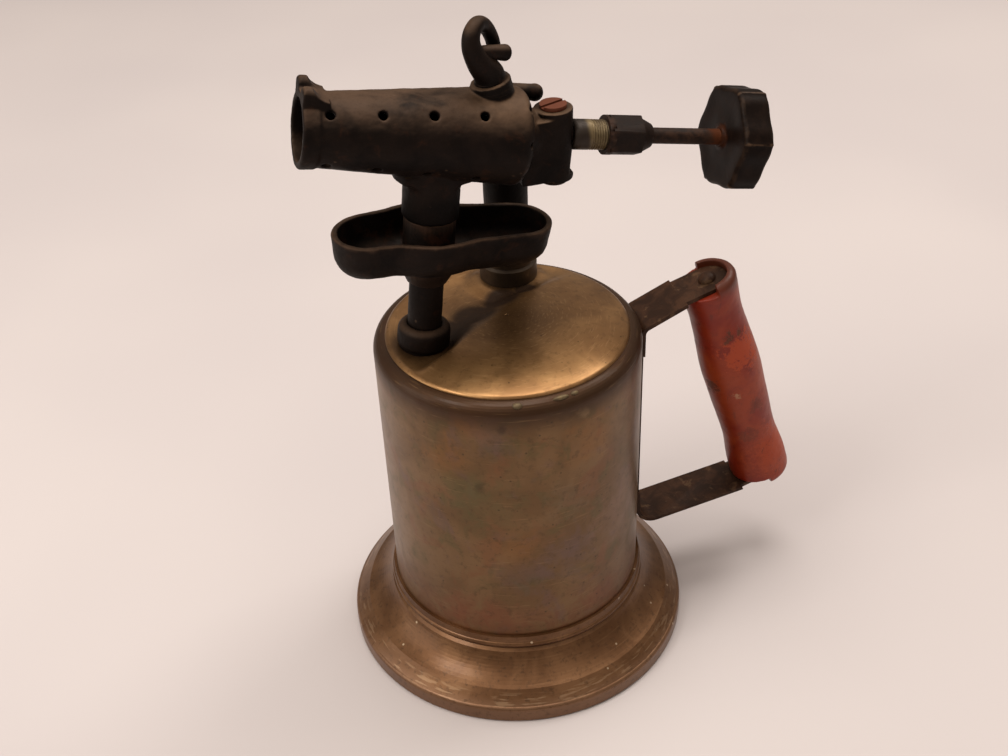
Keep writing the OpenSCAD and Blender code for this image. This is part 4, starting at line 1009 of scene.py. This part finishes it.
# The hook: a thick stem that curls over and thins towards its end, with a ball-ended peg across it
hook_path = (
    (-1.9, 0.0, 235.0, 7.1),
    (-2.0, -0.1, 237.4, 6.9),
    (-2.5, -0.3, 239.8, 5.5),
    (-3.5, -0.9, 242.4, 5.1),
    (-6.8, -3.1, 247.2, 4.2),
    (-9.3, -4.4, 252.6, 3.3),
    (-9.0, -3.8, 257.0, 2.9),
    (-6.3, -1.0, 259.0, 2.6),
    (-3.0, 2.6, 257.0, 2.5),
    (-0.4, 4.6, 252.6, 2.4),
    (0.5, 4.8, 248.6, 2.4),
    (-0.4, 3.4, 245.2, 2.4),
)
peg_path = (
    (-7.4, -3.6, 250.6, 2.0),
    (-4.9, -3.0, 250.2, 2.3),
    (-1.0, -1.6, 249.2, 2.4),
    (2.0, -0.4, 248.2, 2.7),
    (4.4, 0.6, 247.4, 2.8),
)
# The rounded ends are shares of the whole length
hook_steps = 90
hook_points = 28
hook_end_round = 0.05
peg_steps = 36
peg_points = 24
peg_end_round = 0.18
hook_rings = bar(hook_path, hook_steps, hook_points, hook_end_round)
peg_rings = bar(peg_path, peg_steps, peg_points, peg_end_round)
piece("curled_hook", hook_rings, "torch", "black_iron", ["iron_hook"], joined=False)
piece("hook_peg", peg_rings, "torch", "black_iron", joined=False)

# The check valve's spring, which closes up between its body and the disc
spring_low, spring_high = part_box("check_spring")
coil_r = 2.9
wire_r = 0.3
coil_turns = 3
coil_parts = 36
coil_steps = 144
coil_points = 8
coil_end_round = 0.01
spring_path = []
for i in range(coil_parts + 1):
    turn = math.pi / 2 + math.tau * coil_turns * i / coil_parts
    x = PUMP_PLACE[0] + coil_r * math.cos(turn)
    y = PUMP_PLACE[1] + coil_r * math.sin(turn)
    z = mix(spring_low.z / MM + wire_r, spring_high.z / MM - wire_r, i / coil_parts)
    spring_path.append((x, y, z, wire_r))
spring_rings = bar(spring_path, coil_steps, coil_points, coil_end_round)
spring = piece("wound_spring", spring_rings, None, "bright_steel", ["check_spring"], joined=False)
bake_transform(spring)

# Lumps of solder that ran out under the top's edge
shoulder_mid_r = 45.8
shoulder_mid_z = 135.95
shoulder_r = 5.0
lump_rows = 14
lump_points = 24
# Share of its swell by which a lump goes below the skin
lump_under = 0.2


def solder_lump(name, turn, down, width, length, swell):
    """A flat drop on the tank's shoulder, placed by two angles in degrees."""
    loops = []
    for i in range(1, lump_rows):
        share = math.pi * i / lump_rows
        ring = []
        for k in range(lump_points):
            t = math.tau * k / lump_points
            tilt = math.radians(down) - length / 2 * math.cos(share) / shoulder_r
            out = shoulder_r + swell * math.sin(share) * max(-lump_under, math.cos(t))
            reach = shoulder_mid_r + out * math.sin(tilt)
            swing = math.radians(turn) + width / 2 * math.sin(share) * math.sin(t) / reach
            height = shoulder_mid_z + out * math.cos(tilt)
            ring.append(Vector((reach * math.cos(swing), reach * math.sin(swing), height)))
        loops.append(ring)
    piece(name, loops, "torch", "plain_brass", joined=False)


solder_lump("solder_drip_1", -102.7, 34, 3.6, 2.4, 0.7)
solder_lump("solder_drip_2", -84.0, 30, 6.0, 1.8, 0.8)
solder_lump("solder_drip_3", -77.5, 28, 3.0, 1.6, 0.6)

# Castings and the grip get soft edges and a slightly uneven skin
cast_lump_size = 4
wood_dent_size = 9
pan_lump = 0.35
cast_lumps = bpy.data.textures.new("cast_lumps", "CLOUDS")
cast_lumps.noise_scale = cast_lump_size * MM
wood_dents = bpy.data.textures.new("wood_dents", "CLOUDS")
wood_dents.noise_scale = wood_dent_size * MM
for name, voxel, rounds, texture, lump in (
    ("burner_tube", 0.4, 9, cast_lumps, 0.25),
    ("burner_head", 0.35, 5, cast_lumps, 0.25),
    ("riser_boss", 0.35, 4, cast_lumps, 0.2),
    ("riser_pipe", 0.35, 3, cast_lumps, 0.15),
    ("pump_knob", 0.35, 3, cast_lumps, 0.1),
    ("handle_grip", 0.45, 4, wood_dents, 0.35),
):
    remesh = nodes[name].modifiers.new("Skin", "REMESH")
    remesh.mode = "VOXEL"
    remesh.voxel_size = voxel * MM
    remesh.use_smooth_shade = True
    soften = nodes[name].modifiers.new("Soften", "SMOOTH")
    soften.iterations = rounds
    bumps = nodes[name].modifiers.new("Lumps", "DISPLACE")
    bumps.texture = texture
    bumps.texture_coords = "GLOBAL"
    bumps.strength = lump * MM
uneven = cast_pan.modifiers.new("Lumps", "DISPLACE")
uneven.texture = cast_lumps
uneven.texture_coords = "GLOBAL"
uneven.strength = pan_lump * MM

# Sheet and bar pieces get small rounded edges
weld_reach = 0.002
bevel_segments = 2
bevel_from = math.radians(35)
for name, width in (
    ("handle_strap", 0.35),
    ("packing_nut", 0.3),
    ("handle_nut", 0.25),
    ("knob_nut", 0.2),
    ("top_plug", 0.25),
    ("bottom_plug", 0.25),
):
    weld = nodes[name].modifiers.new("Weld", "WELD")
    weld.merge_threshold = weld_reach * MM
    bevel = nodes[name].modifiers.new("Edges", "BEVEL")
    bevel.width = width * MM
    bevel.segments = bevel_segments
    bevel.limit_method = "ANGLE"
    bevel.angle_limit = bevel_from

# Stage: a plain pale floor, soft light from above, and the camera at the photograph's view
floor_size = 8
floor_mottle = 300
floor_roughness = 0.85
bpy.ops.mesh.primitive_plane_add(size=floor_size)
floor = bpy.context.object
floor.name = "floor"
paper = Finish("floor_paper")
tone = paper.band(paper.noise(floor_mottle, 2, 0.5), 0.3, 0.7)
paper_colour = paper.mix(tone, shade(196, 190, 191), shade(202, 196, 196))
floor.data.materials.append(paper.done(paper_colour, floor_roughness))

# The sky grows brighter between two heights of the direction it's seen in
sky_heights = (0.05, 0.9)
sky_strengths = (0.16, 1.15)
world = bpy.data.worlds.new("studio")
bpy.context.scene.world = world
world.use_nodes = True
tree = world.node_tree
sky = tree.nodes["Background"]
sky.inputs["Color"].default_value = shade(214, 200, 188)
direction = tree.nodes.new("ShaderNodeTexCoord")
split = tree.nodes.new("ShaderNodeSeparateXYZ")
glow = tree.nodes.new("ShaderNodeMapRange")
for key, value in zip(("From Min", "From Max", "To Min", "To Max"), sky_heights + sky_strengths):
    glow.inputs[key].default_value = value
tree.links.new(direction.outputs["Generated"], split.inputs[0])
tree.links.new(split.outputs["Z"], glow.inputs["Value"])
tree.links.new(glow.outputs["Result"], sky.inputs["Strength"])

# Square soft lights: place and size in metres, and watts
lamp_aim = Vector((0.0, 0.0, 0.1))
lamp_colour = (1.0, 0.93, 0.86)
for name, place, size, watts in (
    ("ceiling", (0.05, 0.12, 1.5), 0.7, 10.5),
    ("left", (-1.0, -0.3, 1.3), 0.5, 7.6),
    ("right", (0.9, 0.4, 1.3), 0.5, 6.2),
    ("low_left", (-1.2, 0.1, 0.5), 0.7, 3),
):
    light = bpy.data.lights.new(name, "AREA")
    light.size = size
    light.energy = watts
    light.color = lamp_colour
    lamp = bpy.data.objects.new(name, light)
    bpy.context.collection.objects.link(lamp)
    lamp.location = place
    lamp.rotation_euler = (lamp_aim - Vector(place)).to_track_quat("-Z", "Y").to_euler()

# The camera fitted to the photograph, its place in millimetres
view_place = (-106.85, -385.27, 405.25)
view_heading = math.radians(-15.21)
view_pitch = math.radians(35.76)
view_roll = math.radians(-2.466)
view_lens = 45.51
view_sensor = 36
eye = bpy.data.cameras.new("camera")
eye.sensor_fit = "HORIZONTAL"
eye.sensor_width = view_sensor
eye.lens = view_lens
camera = bpy.data.objects.new("camera", eye)
bpy.context.collection.objects.link(camera)
camera.matrix_world = (
    Matrix.Translation(Vector(view_place) * MM)
    @ Matrix.Rotation(view_heading, 4, "Z")
    @ Matrix.Rotation(math.pi / 2 - view_pitch, 4, "X")
    @ Matrix.Rotation(view_roll, 4, "Z")
)
bpy.context.scene.camera = camera
bpy.context.scene.view_settings.view_transform = "Standard"
